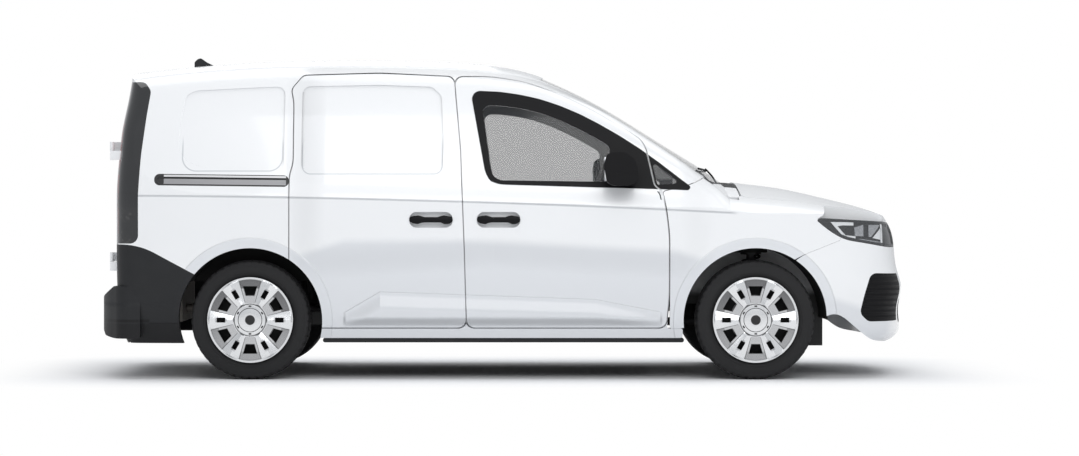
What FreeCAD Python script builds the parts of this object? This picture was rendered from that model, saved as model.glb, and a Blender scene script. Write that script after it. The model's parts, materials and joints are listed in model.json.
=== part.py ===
import FreeCAD, Part
import math
import os

# Compact panel van. +X is forward, +Y is the van's left and +Z is up.
# The origin is on the floor, at the middle of the length and the width.

V = FreeCAD.Vector

# Driving sizes of the whole vehicle, in millimetres.
LENGTH = 4500.0
BODY_WIDTH = 1843.0
HEIGHT = 1785.0
WHEELBASE = 2755.0
FRONT_AXLE_X = 1363.0
TRACK = 1580.0
OVERRUN = 40.0

# Wheels and tyres.
TYRE_RADIUS = 326.0
TYRE_WIDTH = 205.0
RIM_RADIUS = 203.0
RIM_WALL = 12.0
COVER_RADIUS = 233.0
COVER_OUT = 114.0
SPOKES = 6
SLOT_IN = 135.0
SLOT_OUT = 183.0
SLOT_WIDTH = 27.0
WINDOW_IN = 131.0
WINDOW_IN_WIDTH = 48.0
WINDOW_OUT = 184.0
WINDOW_OUT_WIDTH = 78.0
POCKET_SHOULDER = 209.0
POCKET_WIDTH = 148.0
POCKET_OUT = 222.0
POCKET_DEPTH = 8.0
HUB_FACE_RADIUS = 85.0
HUB_FACE_PROUD = 4.0
HUB_RADIUS = 42.0
HUB_LENGTH = 84.0
CENTRE_CAP_RADIUS = 28.0
CENTRE_CAP_PROUD = 2.0
TREAD_SHARE = 0.80
SHOULDER_DROP = 8.0

# Running gear.
STUB_RADIUS = 20.0
STUB_OUT = 58.0
STUB_END_CLEARANCE = 2.0
RUNNING_CLEARANCE = 0.05
KING_PIN_Y = 700.0
KING_PIN_RADIUS = 12.0
KING_PIN_LOW_Z = 190.0
KING_PIN_TOP_Z = 452.0
KING_PIN_EYE = 20.0
KNUCKLE_THICKNESS = 34.0
KNUCKLE_WIDTH = 90.0
DISC_OUT = 28.0
DISC_RADIUS = 122.0
DISC_THICKNESS = 22.0
ARM_THICKNESS = 26.0
ARM_WIDTH = 70.0
STRUT_RADIUS = 27.0
STRUT_Y = 600.0
SPRING_RADIUS = 58.0
SPRING_SEAT_THICKNESS = 11.0
SPRING_CORE_RADIUS = 47.0
AXLE_BEAM_WIDTH = 90.0
AXLE_BEAM_HEIGHT = 70.0
AXLE_ARM_Y = 616.0
TRAILING_ARM_LENGTH = 460.0
TRAILING_ARM_WIDTH = 52.0

# Body shell.
WALL = 90.0
DOOR_THICKNESS = 60.0
SKIN = 12.0
REBATE = 16.0
DOOR_GAP = 6.0
SEAM = 0.3
BONNET_THICKNESS = 24.0
GLASS = 5.0
GLASS_DEPTH = 6.0
ARCH_RADIUS = 392.0
ARCH_LINER = 5.0
PRESSING = 8.0
CORNER_RADIUS = 45.0
SWEEP_RADIUS = 700.0

STRAIGHT_SHARE = 1e-4
ARC_REACH_SHARE = 0.47
SHARP_TURN = 17.0

# Planes well outside the van or across it, up to which the cutters reach.
TOP_Z = HEIGHT * 1.1
MIDDLE_Z = HEIGHT * 0.5
BONNET_CUT_Z = HEIGHT * 0.3
OUTSIDE_Y = BODY_WIDTH * 0.55
FRONT_ZONE_X = LENGTH * 0.4
REAR_ZONE_X = -LENGTH * 0.4

# Outlines are lists of shares. In a side view they are shares of LENGTH and HEIGHT,
# in a rear view shares of BODY_WIDTH and HEIGHT, in plan shares of LENGTH and BODY_WIDTH.

# Plan outlines of the lower body: height, half width, nose and tail.
level_shares = [
    (0.106, 0.905, 0.956, 0.929), (0.134, 0.925, 0.993, 0.938), (0.168, 0.952, 0.996, 0.947),
    (0.235, 0.980, 0.996, 0.951), (0.314, 0.996, 0.994, 0.9525), (0.392, 1.000, 0.982, 0.953),
    (0.459, 1.000, 0.972, 0.953), (0.504, 1.000, 0.951, 0.953), (0.566, 0.998, 0.922, 0.953),
    (0.627, 0.985, 0.911, 0.951), (0.717, 0.950, 0.911, 0.946), (0.812, 0.895, 0.911, 0.936),
    (0.896, 0.838, 0.911, 0.925), (0.964, 0.800, 0.911, 0.920), (1.036, 0.770, 0.911, 0.915)]
nose_shares = [(0.35, 0.985), (0.60, 0.955), (0.75, 0.912), (0.845, 0.845), (0.912, 0.735),
               (0.957, 0.550), (0.989, 0.280)]
tail_shares = [(0.55, 0.994), (0.80, 0.980), (0.90, 0.962), (0.955, 0.922), (0.985, 0.850),
               (0.995, 0.600), (0.999, 0.300)]
TAIL_SHARE = 0.953
NOSE_START_SHARE = 0.278
TAIL_START_SHARE = -0.333

# Cross sections of the upper body: station, height on the centre line, crown and corner.
roof_shares = [
    (-0.511, 0.9440, 0.034, 0.050), (-0.461, 0.9575, 0.034, 0.050), (-0.392, 0.9765, 0.034, 0.050),
    (-0.289, 0.9925, 0.034, 0.050), (-0.178, 0.9972, 0.034, 0.050), (-0.084, 0.9927, 0.034, 0.050),
    (-0.007, 0.9765, 0.033, 0.050), (0.044, 0.9446, 0.031, 0.048)]
screen_shares = [
    (0.044, 0.9446, 0.031, 0.048), (0.090, 0.8924, 0.030, 0.042), (0.121, 0.8510, 0.029, 0.039),
    (0.172, 0.7731, 0.029, 0.036), (0.224, 0.6924, 0.032, 0.036), (0.249, 0.6527, 0.036, 0.039),
    (0.2725, 0.6095, 0.040, 0.045)]
bonnet_shares = [
    (0.2725, 0.6095, 0.040, 0.045), (0.294, 0.6050, 0.042, 0.050), (0.326, 0.5955, 0.040, 0.056),
    (0.352, 0.5860, 0.0375, 0.059), (0.3775, 0.5725, 0.0335, 0.062), (0.403, 0.5570, 0.027, 0.062),
    (0.429, 0.5406, 0.019, 0.056), (0.4545, 0.5210, 0.0145, 0.056), (0.475, 0.5003, 0.0125, 0.050),
    (0.502, 0.4650, 0.011, 0.050)]
BELT_Z_SHARE = 0.594
BELT_SLOPE_SHARE = 0.0256
BELT_Y_SHARE = 0.4845
CROWN_REFERENCE_SHARE = 0.38
CROWN_ROUNDS = 40
SECTION_FOOT_SHARE = 0.05
SECTION_SIDE_POINTS = 9
SECTION_CROWDING = 1.6
section_corner_shares = (0.25, 0.5, 0.75)
section_crown_shares = (0.72, 0.48, 0.24)
LEAN_SHARE = 0.20
LEAN_GAIN_SHARE = 0.303
FLARE_SHARE = 0.31

# Side view outlines.
front_door_shares = [
    (-0.0467, 0.1590), (-0.0493, 0.3975), (-0.0540, 0.7040), (-0.0622, 0.9290), (-0.0180, 0.9290),
    (0.0240, 0.9120), (0.0700, 0.8700), (0.1230, 0.8040), (0.1640, 0.7340), (0.1700, 0.7080),
    (0.1800, 0.5930), (0.1893, 0.5740), (0.1940, 0.5160), (0.1975, 0.4400), (0.1975, 0.2600),
    (0.1945, 0.1590)]
slide_door_shares = [
    (-0.0480, 0.1590), (-0.0506, 0.3975), (-0.0553, 0.7040), (-0.0635, 0.9290), (-0.1540, 0.9400),
    (-0.2470, 0.9330), (-0.2610, 0.8900), (-0.2575, 0.8500), (-0.2570, 0.6600), (-0.2615, 0.6250),
    (-0.2615, 0.3000), (-0.2615, 0.1590)]
side_shares = [
    (-0.4900, 1.0500), (-0.4900, 0.4130), (-0.4440, 0.4130), (-0.3780, 0.3240), (-0.3100, 0.2400),
    (-0.2500, 0.1265), (0.2150, 0.1265), (0.2150, 0.1560), (0.1958, 0.1560), (0.1988, 0.2600),
    (0.1988, 0.4400), (0.1953, 0.5170), (0.1906, 0.5765), (0.2250, 0.5980), (0.2400, 0.6190),
    (0.2900, 0.6190), (0.2900, 1.0500)]
wing_shares = [
    (0.1992, 0.1565), (0.1992, 0.4400), (0.1957, 0.5180), (0.1911, 0.5745), (0.2253, 0.5960),
    (0.2410, 0.6150), (0.2600, 0.6700), (0.3880, 0.6700), (0.3880, 0.5240), (0.3850, 0.5020),
    (0.3760, 0.4890), (0.4090, 0.4295), (0.3520, 0.3730), (0.3100, 0.3000), (0.2200, 0.1565)]
bumper_shares = [
    (0.3881, 0.6700), (0.3881, 0.5240), (0.3852, 0.5020), (0.3762, 0.4888), (0.4092, 0.4290),
    (0.3522, 0.3724), (0.3300, 0.3000), (0.3800, 0.0900), (0.5200, 0.0900), (0.5200, 0.6700)]
headlamp_shares = [
    (0.3760, 0.4880), (0.3830, 0.4945), (0.4700, 0.4820), (0.4870, 0.4740), (0.4870, 0.4030),
    (0.4690, 0.4030), (0.4350, 0.4175), (0.4110, 0.4275), (0.3930, 0.4530)]
intake_shares = [
    (0.4446, 0.3250), (0.4900, 0.3210), (0.4900, 0.1760), (0.4420, 0.1760), (0.4310, 0.2010),
    (0.4365, 0.2610)]
tail_lamp_shares = [
    (-0.4900, 0.9130), (-0.4410, 0.9130), (-0.4330, 0.8850), (-0.4370, 0.8110), (-0.4425, 0.6850),
    (-0.4452, 0.5650), (-0.4450, 0.4160), (-0.4900, 0.4160)]
door_glass_shares = [
    (-0.0290, 0.8400), (-0.0068, 0.8400), (0.0175, 0.8315), (0.0417, 0.8175), (0.0660, 0.7945),
    (0.0902, 0.7655), (0.1145, 0.7320), (0.1262, 0.7140), (0.1290, 0.6046), (-0.0068, 0.6092),
    (-0.0152, 0.6224), (-0.0189, 0.6560)]
quarter_glass_shares = [(0.1772, 0.6680), (0.2120, 0.6010), (0.1842, 0.5950)]
trim_shares = [
    (-0.0430, 0.8870), (-0.0068, 0.8830), (0.0175, 0.8740), (0.0417, 0.8605), (0.0660, 0.8400),
    (0.0902, 0.8140), (0.1145, 0.7820), (0.1387, 0.7465), (0.1630, 0.7068), (0.1872, 0.6625),
    (0.2115, 0.6150), (0.2245, 0.5900), (0.2224, 0.5790), (0.1812, 0.5826), (0.1145, 0.5872),
    (-0.0068, 0.5964), (-0.0189, 0.6071), (-0.0249, 0.6346)]
rear_panel_shares = [
    (-0.3970, 0.7070), (-0.3955, 0.8000), (-0.3900, 0.8700), (-0.3790, 0.8860), (-0.2950, 0.8970),
    (-0.2690, 0.8990), (-0.2690, 0.6440), (-0.3640, 0.6440), (-0.3870, 0.6680)]
slide_panel_shares = [
    (-0.2480, 0.8990), (-0.1540, 0.9040), (-0.0900, 0.8980), (-0.0780, 0.8700), (-0.0750, 0.7070),
    (-0.0770, 0.6450), (-0.0860, 0.6330), (-0.2480, 0.6390)]
rail_shares = [(-0.4255, 0.6290), (-0.2625, 0.6240), (-0.2625, 0.5890), (-0.4255, 0.5940)]
fuel_flap_shares = [(-0.3560, 0.5500), (-0.3170, 0.5500), (-0.3170, 0.4560), (-0.3560, 0.4560)]

# Rear view outlines, as shares of the half width and the height.
rear_door_shares = [(0.8110, 0.2900), (0.8110, 0.6160), (0.7100, 0.9190)]
REAR_SPLIT_SHARE = -0.130
REAR_SPLIT_GAP = 4.5
rear_glass_shares = [(0.6900, 0.6150), (0.6250, 0.8580)]
REAR_GLASS_MARGIN = 85.0

# Plan outlines, as shares of LENGTH and the half width.
roof_edge_shares = [(-0.4800, 0.6950), (0.0000, 0.6950), (0.0430, 0.6560), (0.0465, 0.3500)]
ROOF_FRONT_SHARE = 0.0475
screen_edge_shares = [(0.0470, 0.3500), (0.0435, 0.6520), (0.2360, 0.8850), (0.2560, 0.7400),
                      (0.2690, 0.4200)]
SCREEN_TOP_SHARE = 0.0480
SCREEN_BASE_SHARE = 0.2725
scuttle_edge_shares = [(0.2694, 0.4200), (0.2565, 0.7420), (0.2368, 0.8870), (0.2440, 0.9050),
                       (0.2870, 0.8100), (0.2870, 0.4000)]
bonnet_edge_shares = [(0.2885, 0.8050), (0.3880, 0.8050), (0.4380, 0.7900), (0.4620, 0.7200),
                      (0.4760, 0.4800)]
BONNET_NOSE_SHARE = 0.4835
BONNET_LOW_Z = HEIGHT * 0.482

HALF_WIDTH = BODY_WIDTH / 2
REAR_AXLE_X = FRONT_AXLE_X - WHEELBASE
WHEEL_Y = TRACK / 2


# Outlines are closed lists of flat points, drawn with rounded corners.
def scaled(shares, first, second):
    return [(a * first, b * second) for a, b in shares]


def side_view(shares):
    return scaled(shares, LENGTH, HEIGHT)


def mirrored_plan(shares, rear_share, front_share):
    edge = scaled(shares, LENGTH, HALF_WIDTH)
    other = [(x, -y) for x, y in reversed(edge)]
    points = list(edge)
    if front_share is not None:
        points.append((front_share * LENGTH, 0.0))
    points += other
    if rear_share is not None:
        points.append((rear_share * LENGTH, 0.0))
    return points


def signed_area(points):
    following = points[1:] + points[:1]
    return sum(a[0] * b[1] - b[0] * a[1] for a, b in zip(points, following)) / 2


def grown(points, distance):
    """Moves every edge of a closed outline outwards by the distance."""
    turn = 1.0 if signed_area(points) > 0 else -1.0
    lines = []
    for a, b in zip(points, points[1:] + points[:1]):
        run = math.hypot(b[0] - a[0], b[1] - a[1])
        dx, dy = (b[0] - a[0]) / run, (b[1] - a[1]) / run
        lines.append((a[0] + turn * dy * distance, a[1] - turn * dx * distance, dx, dy))
    moved = []
    for first, second in zip(lines[-1:] + lines[:-1], lines):
        cross = first[2] * second[3] - first[3] * second[2]
        gap_x, gap_y = second[0] - first[0], second[1] - first[1]
        if abs(cross) < STRAIGHT_SHARE:
            moved.append(second[:2])
            continue
        along = (gap_x * second[3] - gap_y * second[2]) / cross
        moved.append((first[0] + along * first[2], first[1] + along * first[3]))
    return moved


def turning(points):
    """The points of an outline at which it turns."""
    kept = []
    for before, here, after in zip(points[-1:] + points[:-1], points, points[1:] + points[:1]):
        a = (here[0] - before[0], here[1] - before[1])
        b = (after[0] - here[0], after[1] - here[1])
        if abs(a[0] * b[1] - a[1] * b[0]) > STRAIGHT_SHARE * math.hypot(*a) * math.hypot(*b):
            kept.append(here)
    return kept


def rounded_wire(points, place, corner, sweep):
    """A closed wire with an arc at each corner: sharp turns get corner, gentle ones sweep."""
    points = turning(points)
    count = len(points)
    vectors = [place(*p) for p in points]
    starts, middles, ends = [], [], []
    for i in range(count):
        before, here, after = vectors[i - 1], vectors[i], vectors[(i + 1) % count]
        back, ahead = before - here, after - here
        reach = min(back.Length, ahead.Length) * ARC_REACH_SHARE
        back.normalize()
        ahead.normalize()
        half_turn = (math.pi - back.getAngle(ahead)) / 2
        radius = corner if half_turn > math.radians(SHARP_TURN) else sweep
        cut = min(radius * math.tan(half_turn), reach)
        bow = cut / math.tan(half_turn) * (1 / math.cos(half_turn) - 1)
        inward = back + ahead
        inward.normalize()
        starts.append(here + back * cut)
        middles.append(here + inward * bow)
        ends.append(here + ahead * cut)
    edges = []
    for i in range(count):
        edges.append(Part.Arc(starts[i], middles[i], ends[i]).toShape())
        edges.append(Part.makeLine(ends[i], starts[(i + 1) % count]))
    return Part.Wire(edges)


def side_prism(points, low_y, high_y, corner=CORNER_RADIUS, sweep=SWEEP_RADIUS):
    wire = rounded_wire(points, lambda x, z: V(x, low_y, z), corner, sweep)
    return Part.Face(wire).extrude(V(0, high_y - low_y, 0))


def rear_prism(points, low_x, high_x, corner=CORNER_RADIUS, sweep=SWEEP_RADIUS):
    wire = rounded_wire(points, lambda y, z: V(low_x, y, z), corner, sweep)
    return Part.Face(wire).extrude(V(high_x - low_x, 0, 0))


def plan_prism(points, low_z, high_z, corner=CORNER_RADIUS, sweep=SWEEP_RADIUS):
    wire = rounded_wire(points, lambda x, y: V(x, y, low_z), corner, sweep)
    return Part.Face(wire).extrude(V(0, 0, high_z - low_z))


def box(low_x, high_x, low_y, high_y, low_z, high_z):
    return Part.makeBox(high_x - low_x, high_y - low_y, high_z - low_z, V(low_x, low_y, low_z))


def mirrored(shape):
    return shape.mirror(V(0, 0, 0), V(0, 1, 0))


def moved(shape, x=0.0, y=0.0, z=0.0):
    copy = shape.copy()
    copy.translate(V(x, y, z))
    return copy


def layer(block, x=0.0, y=0.0, z=0.0):
    """The outer layer of a block, as thick as the shift that is taken away."""
    return block.cut(moved(block, x, y, z))


def largest(shape):
    return max(shape.Solids, key=lambda solid: solid.Volume)


def round_bar(start, end, radius):
    return Part.makeCylinder(radius, (end - start).Length, start, end - start)


# The hull: the lower body lofted upwards, cut by the upper body lofted lengthwise.
def chord_steps(points):
    """Places of the points along their curve, from 0 to 1, by the lengths of the chords."""
    runs = [0.0]
    for a, b in zip(points, points[1:]):
        runs.append(runs[-1] + (b - a).Length)
    return [run / runs[-1] for run in runs]


def smooth_curve(points, steps, start_tangent=None, end_tangent=None):
    curve = Part.BSplineCurve()
    if start_tangent is None:
        curve.interpolate(Points=points, Parameters=steps)
    else:
        curve.interpolate(Points=points, Parameters=steps, InitialTangent=start_tangent,
                          FinalTangent=end_tangent)
    return curve.toShape()


def end_curve(start_x, end_x, half_width, z, shares):
    """The nose or the tail in plan, from one side of the van to the other."""
    reach = end_x - start_x
    side = 1.0 if reach > 0 else -1.0
    points = [V(start_x, side * half_width, z)]
    points += [V(start_x + reach * a, side * half_width * b, z) for a, b in shares]
    points.append(V(end_x, 0, z))
    points += [V(p.x, -p.y, p.z) for p in reversed(points[:-1])]
    nominal = [V(0, HALF_WIDTH, 0)] + [V(LENGTH / 4 * a, HALF_WIDTH * b, 0) for a, b in shares]
    nominal.append(V(LENGTH / 4, 0, 0))
    nominal += [V(p.x, -p.y, 0) for p in reversed(nominal[:-1])]
    steps = chord_steps(nominal)
    start = (points[1] - points[0]).Length / (steps[1] - steps[0])
    curve = smooth_curve(points, steps, V(side * start, 0, 0), V(-side * start, 0, 0))
    return curve, points[0], points[-1]


def level_wire(height_share, width_share, nose_share, tail_share):
    z = height_share * HEIGHT
    half_width = width_share * HALF_WIDTH
    nose, a, b = end_curve(NOSE_START_SHARE * LENGTH, nose_share * LENGTH / 2, half_width, z,
                           nose_shares)
    tail, c, d = end_curve(TAIL_START_SHARE * LENGTH, -tail_share * LENGTH / 2, half_width, z,
                           tail_shares)
    return Part.Wire([nose, Part.makeLine(b, c), tail, Part.makeLine(d, a)])


def belt_height(x):
    return BELT_Z_SHARE * HEIGHT - BELT_SLOPE_SHARE * x


def upper_half_width(x, z):
    """Half width of the upper body: it flares below the belt and leans in above it."""
    rise = z - belt_height(x)
    if rise < 0:
        return BELT_Y_SHARE * BODY_WIDTH - FLARE_SHARE * rise
    return BELT_Y_SHARE * BODY_WIDTH - LEAN_SHARE * rise - LEAN_GAIN_SHARE * rise * rise / HEIGHT


def station_points(station_share, height_share, crown_share, corner_share):
    x = station_share * LENGTH
    top = height_share * HEIGHT
    corner = corner_share * HEIGHT
    reference = CROWN_REFERENCE_SHARE * BODY_WIDTH

    def crown_height(y):
        return top - crown_share * HEIGHT * (y / reference) ** 2

    edge_z = top
    for _ in range(CROWN_ROUNDS):
        edge_z = (edge_z + crown_height(upper_half_width(x, edge_z))) / 2
    edge_y = upper_half_width(x, edge_z)
    foot_z = SECTION_FOOT_SHARE * HEIGHT
    start_z = edge_z - corner
    start = (upper_half_width(x, start_z), start_z)
    finish = (edge_y - corner, crown_height(edge_y - corner))
    points = []
    for i in range(SECTION_SIDE_POINTS):
        z = foot_z + (start_z - foot_z) * (1 - (1 - i / SECTION_SIDE_POINTS) ** SECTION_CROWDING)
        points.append((upper_half_width(x, z), z))
    points.append(start)
    for t in section_corner_shares:
        points.append(tuple((1 - t) ** 2 * a + 2 * t * (1 - t) * b + t * t * c
                            for a, b, c in zip(start, (edge_y, edge_z), finish)))
    points.append(finish)
    for share in section_crown_shares:
        points.append((finish[0] * share, crown_height(finish[0] * share)))
    section = [V(x, y, z) for y, z in points]
    section.append(V(x, 0, top))
    section += [V(x, -y, z) for y, z in reversed(points)]
    return section


def loft_stations(rows):
    """One stretch of the upper body, smooth from its first station to its last."""
    sections = [station_points(*row) for row in rows]
    steps = chord_steps(station_points(*screen_shares[0]))
    wires = [Part.Wire([smooth_curve(s, steps), Part.makeLine(s[-1], s[0])]) for s in sections]
    return Part.makeLoft(wires, True, False)


def make_hull():
    lower = Part.makeLoft([level_wire(*row) for row in level_shares], True, False)
    uppers = [loft_stations(rows) for rows in (roof_shares, screen_shares, bonnet_shares)]
    upper = uppers[0].fuse(uppers[1:])
    return largest(lower.common(upper))


# Inner faces of the walls, as half width less the wall's depth and height.
inner_shares = [(0.905, 0.050), (0.905, 0.106), (0.955, 0.185), (0.985, 0.250), (1.000, 0.314),
                (1.000, 0.560), (0.955, 0.610), (0.868, 0.790), (0.765, 0.940)]
SIDE_INNER_SHARE = 0.55
roof_under_shares = [(-0.5000, 0.9100), (-0.3800, 0.9380), (-0.2500, 0.9520), (-0.0700, 0.9500),
                     (0.0200, 0.9200), (0.0600, 0.8800), (0.0600, 0.1000), (-0.5000, 0.1000)]
front_inner_shares = [(0.3000, 0.9352), (0.4050, 0.9352), (0.4350, 0.8700), (0.4620, 0.7400),
                      (0.4760, 0.5000)]
FRONT_INNER_NOSE_SHARE = 0.4830
FLOOR_THICKNESS = 30.0
floor_shares = [(-0.4580, 0.3150), (-0.0700, 0.3150), (-0.0560, 0.2000), (0.1750, 0.2000),
                (0.2060, 0.2500), (0.2060, 0.4800)]
FRONT_WHEELHOUSE_Y = 450.0
REAR_WHEELHOUSE_WIDTH = 215.0
REAR_WHEELHOUSE_HEIGHT = 160.0


def hollow(depth, low_x, high_x):
    """The space between walls of the given depth, cut lengthwise."""
    side = [(y * HALF_WIDTH - depth, z * HEIGHT) for y, z in inner_shares]
    points = side + [(-y, z) for y, z in reversed(side)]
    return rear_prism(points, low_x, high_x, SKIN, SKIN)


def left_side(hull):
    return hull.common(box(-LENGTH, LENGTH, SIDE_INNER_SHARE * HALF_WIDTH - WALL,
                           HALF_WIDTH + OVERRUN, 0, HEIGHT + OVERRUN))


def hull_block(hull, points, grow=0.0, corner=CORNER_RADIUS):
    """The left side of the hull within a side view outline."""
    outline = grown(points, grow) if grow else points
    prism = side_prism(outline, SIDE_INNER_SHARE * HALF_WIDTH, HALF_WIDTH + OVERRUN, corner)
    return hull.common(prism)


def arch_cutter(x, radius):
    start = V(x, TYRE_WIDTH * 2, TYRE_RADIUS)
    return Part.makeCylinder(radius, HALF_WIDTH, start, V(0, 1, 0))


def both_arches(radius):
    return [arch_cutter(FRONT_AXLE_X, radius), arch_cutter(REAR_AXLE_X, radius)]


def roof_outline():
    return mirrored_plan(roof_edge_shares, None, ROOF_FRONT_SHARE)


def screen_outline():
    edge = scaled(screen_edge_shares, LENGTH, HALF_WIDTH)
    other = [(x, -y) for x, y in reversed(edge)]
    base = [(SCREEN_BASE_SHARE * LENGTH, 0.0)]
    return [(SCREEN_TOP_SHARE * LENGTH, 0.0)] + edge + base + other


def plan_block(hull, points, low_z, grow=0.0, corner=CORNER_RADIUS):
    outline = grown(points, grow) if grow else points
    return hull.common(plan_prism(outline, low_z, TOP_Z, corner))


def rear_door_outline(side):
    """One rear door seen from behind. The left door is the wider one."""
    split = REAR_SPLIT_SHARE * HALF_WIDTH + side * REAR_SPLIT_GAP
    edge = [(side * y * HALF_WIDTH, z * HEIGHT) for y, z in rear_door_shares]
    return [(split, edge[0][1])] + edge + [(split, edge[-1][1])]


def stepped_door(hull, points, set_back=0.0):
    """A door with a thin outer skin that laps over its thicker inner body."""
    low, high = -LENGTH / 2, LENGTH / 2
    low_y, high_y = SIDE_INNER_SHARE * HALF_WIDTH, HALF_WIDTH + OVERRUN
    skin = hull_block(hull, points).cut(hollow(SKIN, low, high))
    inner = side_prism(grown(points, -REBATE), low_y, high_y)
    body = hull.common(inner).cut(hollow(DOOR_THICKNESS, low, high))
    if set_back:
        body = body.common(moved(inner, x=set_back))
    return skin.fuse(body).removeSplitter()


def edge_blocks(x, edge_x, heights):
    """Hinge leaves or latches that reach from a door's inner body to its post."""
    low_x, high_x = sorted((x, edge_x))
    high_y = HALF_WIDTH - DOOR_THICKNESS / 2
    return [box(low_x, high_x, high_y - LEAF_DEPTH, high_y, z, z + LEAF_HEIGHT) for z in heights]


def door_opening(points):
    """What a stepped door leaves open in the side of the body."""
    low, high = -LENGTH / 2, LENGTH / 2
    low_y, high_y = SIDE_INNER_SHARE * HALF_WIDTH, HALF_WIDTH + OVERRUN
    outer = side_prism(grown(points, DOOR_GAP), low_y, high_y)
    outer = outer.cut(hollow(SKIN + DOOR_GAP, low, high))
    return [outer, side_prism(grown(points, DOOR_GAP - REBATE), low_y, high_y)]


def pressed(panel, hull, points):
    """A shallow pressing in a panel, its floor parallel to the skin."""
    block = hull_block(hull, points)
    return panel.cut(layer(block, y=-PRESSING))


HANDLE_LENGTH = 236.0
HANDLE_HEIGHT = 86.0
HANDLE_DEPTH = 30.0
HANDLE_BAR_HEIGHT = 28.0
HANDLE_BAR_THICKNESS = 16.0
HANDLE_PROUD = 7.0
HANDLE_Z = 872.0
FRONT_HANDLE_X = -38.0
SLIDE_HANDLE_X = -406.0


def handle_outline(x, length, height):
    low_x, high_x = x - length / 2, x + length / 2
    low_z, high_z = HANDLE_Z - height / 2, HANDLE_Z + height / 2
    return [(low_x, low_z), (high_x, low_z), (high_x, high_z), (low_x, high_z)]


def handle_recess(hull, x):
    return layer(hull_block(hull, handle_outline(x, HANDLE_LENGTH, HANDLE_HEIGHT)), y=-HANDLE_DEPTH)


def make_handle(hull, x):
    """The pull bar that bridges a door's handle recess and stands a little proud of the skin."""
    points = handle_outline(x, HANDLE_LENGTH - SEAM * 2, HANDLE_BAR_HEIGHT)
    low_y, high_y = SIDE_INNER_SHARE * HALF_WIDTH, HALF_WIDTH + OVERRUN
    bar = layer(hull.common(side_prism(points, low_y, high_y, SKIN)), y=-HANDLE_BAR_THICKNESS)
    return moved(largest(bar), y=HANDLE_PROUD)


def make_quarter_glass(hull):
    points = grown(side_view(quarter_glass_shares), -SEAM)
    low_y, high_y = SIDE_INNER_SHARE * HALF_WIDTH, HALF_WIDTH + OVERRUN
    block = moved(hull.common(side_prism(points, low_y, high_y, SKIN)), y=-GLASS_DEPTH)
    return largest(block.cut(moved(block, y=-GLASS)))


def make_fuel_flap(hull):
    """The lid over the filler on the left rear quarter, with its hinge leaf in front."""
    points = side_view(fuel_flap_shares)
    flap = layer(hull_block(hull, points), y=-FLAP_THICKNESS)
    front_x = max(x for x, z in points) + FLAP_GAP - SEAM
    middle_z = sum(z for x, z in points) / len(points)
    high_y = HALF_WIDTH - FLAP_THICKNESS / 2
    leaf = box(front_x - LEAF_SEAT, front_x, high_y - FLAP_THICKNESS, high_y,
               middle_z - FLAP_THICKNESS * 2, middle_z + FLAP_THICKNESS * 2)
    return largest(flap.fuse(leaf))


def make_body_side(hull):
    """One side of the body: sill, rear quarter, pillars and roof rail."""
    side = hull_block(hull, side_view(side_shares), 0.0, SKIN)
    cutters = [hollow(WALL, -LENGTH / 2, LENGTH / 2)]
    cutters += door_opening(side_view(front_door_shares))
    cutters += door_opening(side_view(slide_door_shares))
    cutters += both_arches(ARCH_RADIUS)
    cutters.append(plan_prism(grown(roof_outline(), SEAM), MIDDLE_Z, TOP_Z))
    cutters.append(plan_prism(grown(screen_outline(), SEAM), MIDDLE_Z, TOP_Z))
    cutters.append(plan_prism(grown(scuttle_outline(), SEAM), MIDDLE_Z, TOP_Z))
    cutters.append(side_prism(grown(side_view(tail_lamp_shares), SEAM), 0, HALF_WIDTH + OVERRUN))
    cutters.append(rear_prism(grown(rear_door_outline(1), DOOR_GAP), -LENGTH, REAR_ZONE_X))
    cutters.append(layer(hull_block(hull, side_view(rail_shares), SEAM), y=-RAIL_DEPTH))
    cutters.append(side_prism(side_view(quarter_glass_shares), 0, HALF_WIDTH + OVERRUN, SKIN))
    side = largest(side.cut(cutters))
    return pressed(side, hull, side_view(rear_panel_shares))


def fuel_pocket(hull):
    return layer(hull_block(hull, side_view(fuel_flap_shares), FLAP_GAP), y=-FLAP_POCKET)


RAIL_DEPTH = 24.0
RAIL_LEAF_Z = 780.0
RAIL_WALL = 5.0
FLAP_THICKNESS = 10.0
FLAP_POCKET = 45.0
FLAP_GAP = 5.0


LEAF_DEPTH = 26.0
LEAF_HEIGHT = 70.0
LEAF_SEAT = 30.0
DOOR_LEAF_Z = (490.0, 670.0)
SWING_SET_BACK = 12.0


def make_front_door(hull):
    points = side_view(front_door_shares)
    door = stepped_door(hull, points, SWING_SET_BACK)
    post_x = max(x for x, z in points) + DOOR_GAP - REBATE - SEAM
    door = door.fuse(edge_blocks(post_x - LEAF_SEAT, post_x, DOOR_LEAF_Z))
    low_y, high_y = SIDE_INNER_SHARE * HALF_WIDTH, HALF_WIDTH + OVERRUN
    window = side_prism(side_view(door_glass_shares), low_y, high_y)
    recess = hull_block(hull, side_view(door_glass_shares), REBATE)
    recess = moved(recess, y=-GLASS_DEPTH)
    recess = recess.cut(moved(recess, y=-GLASS - SEAM * 2))
    cutters = [window, recess, handle_recess(hull, FRONT_HANDLE_X), *both_arches(ARCH_RADIUS)]
    return largest(door.cut(cutters))


def make_slide_door(hull):
    points = side_view(slide_door_shares)
    door = stepped_door(hull, points).cut(both_arches(ARCH_RADIUS))
    post_x = min(x for x, z in points) - DOOR_GAP + REBATE + SEAM
    door = door.fuse(edge_blocks(post_x + LEAF_SEAT, post_x, (RAIL_LEAF_Z,)))
    door = largest(door.cut(handle_recess(hull, SLIDE_HANDLE_X)))
    return pressed(door, hull, side_view(slide_panel_shares))


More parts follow.
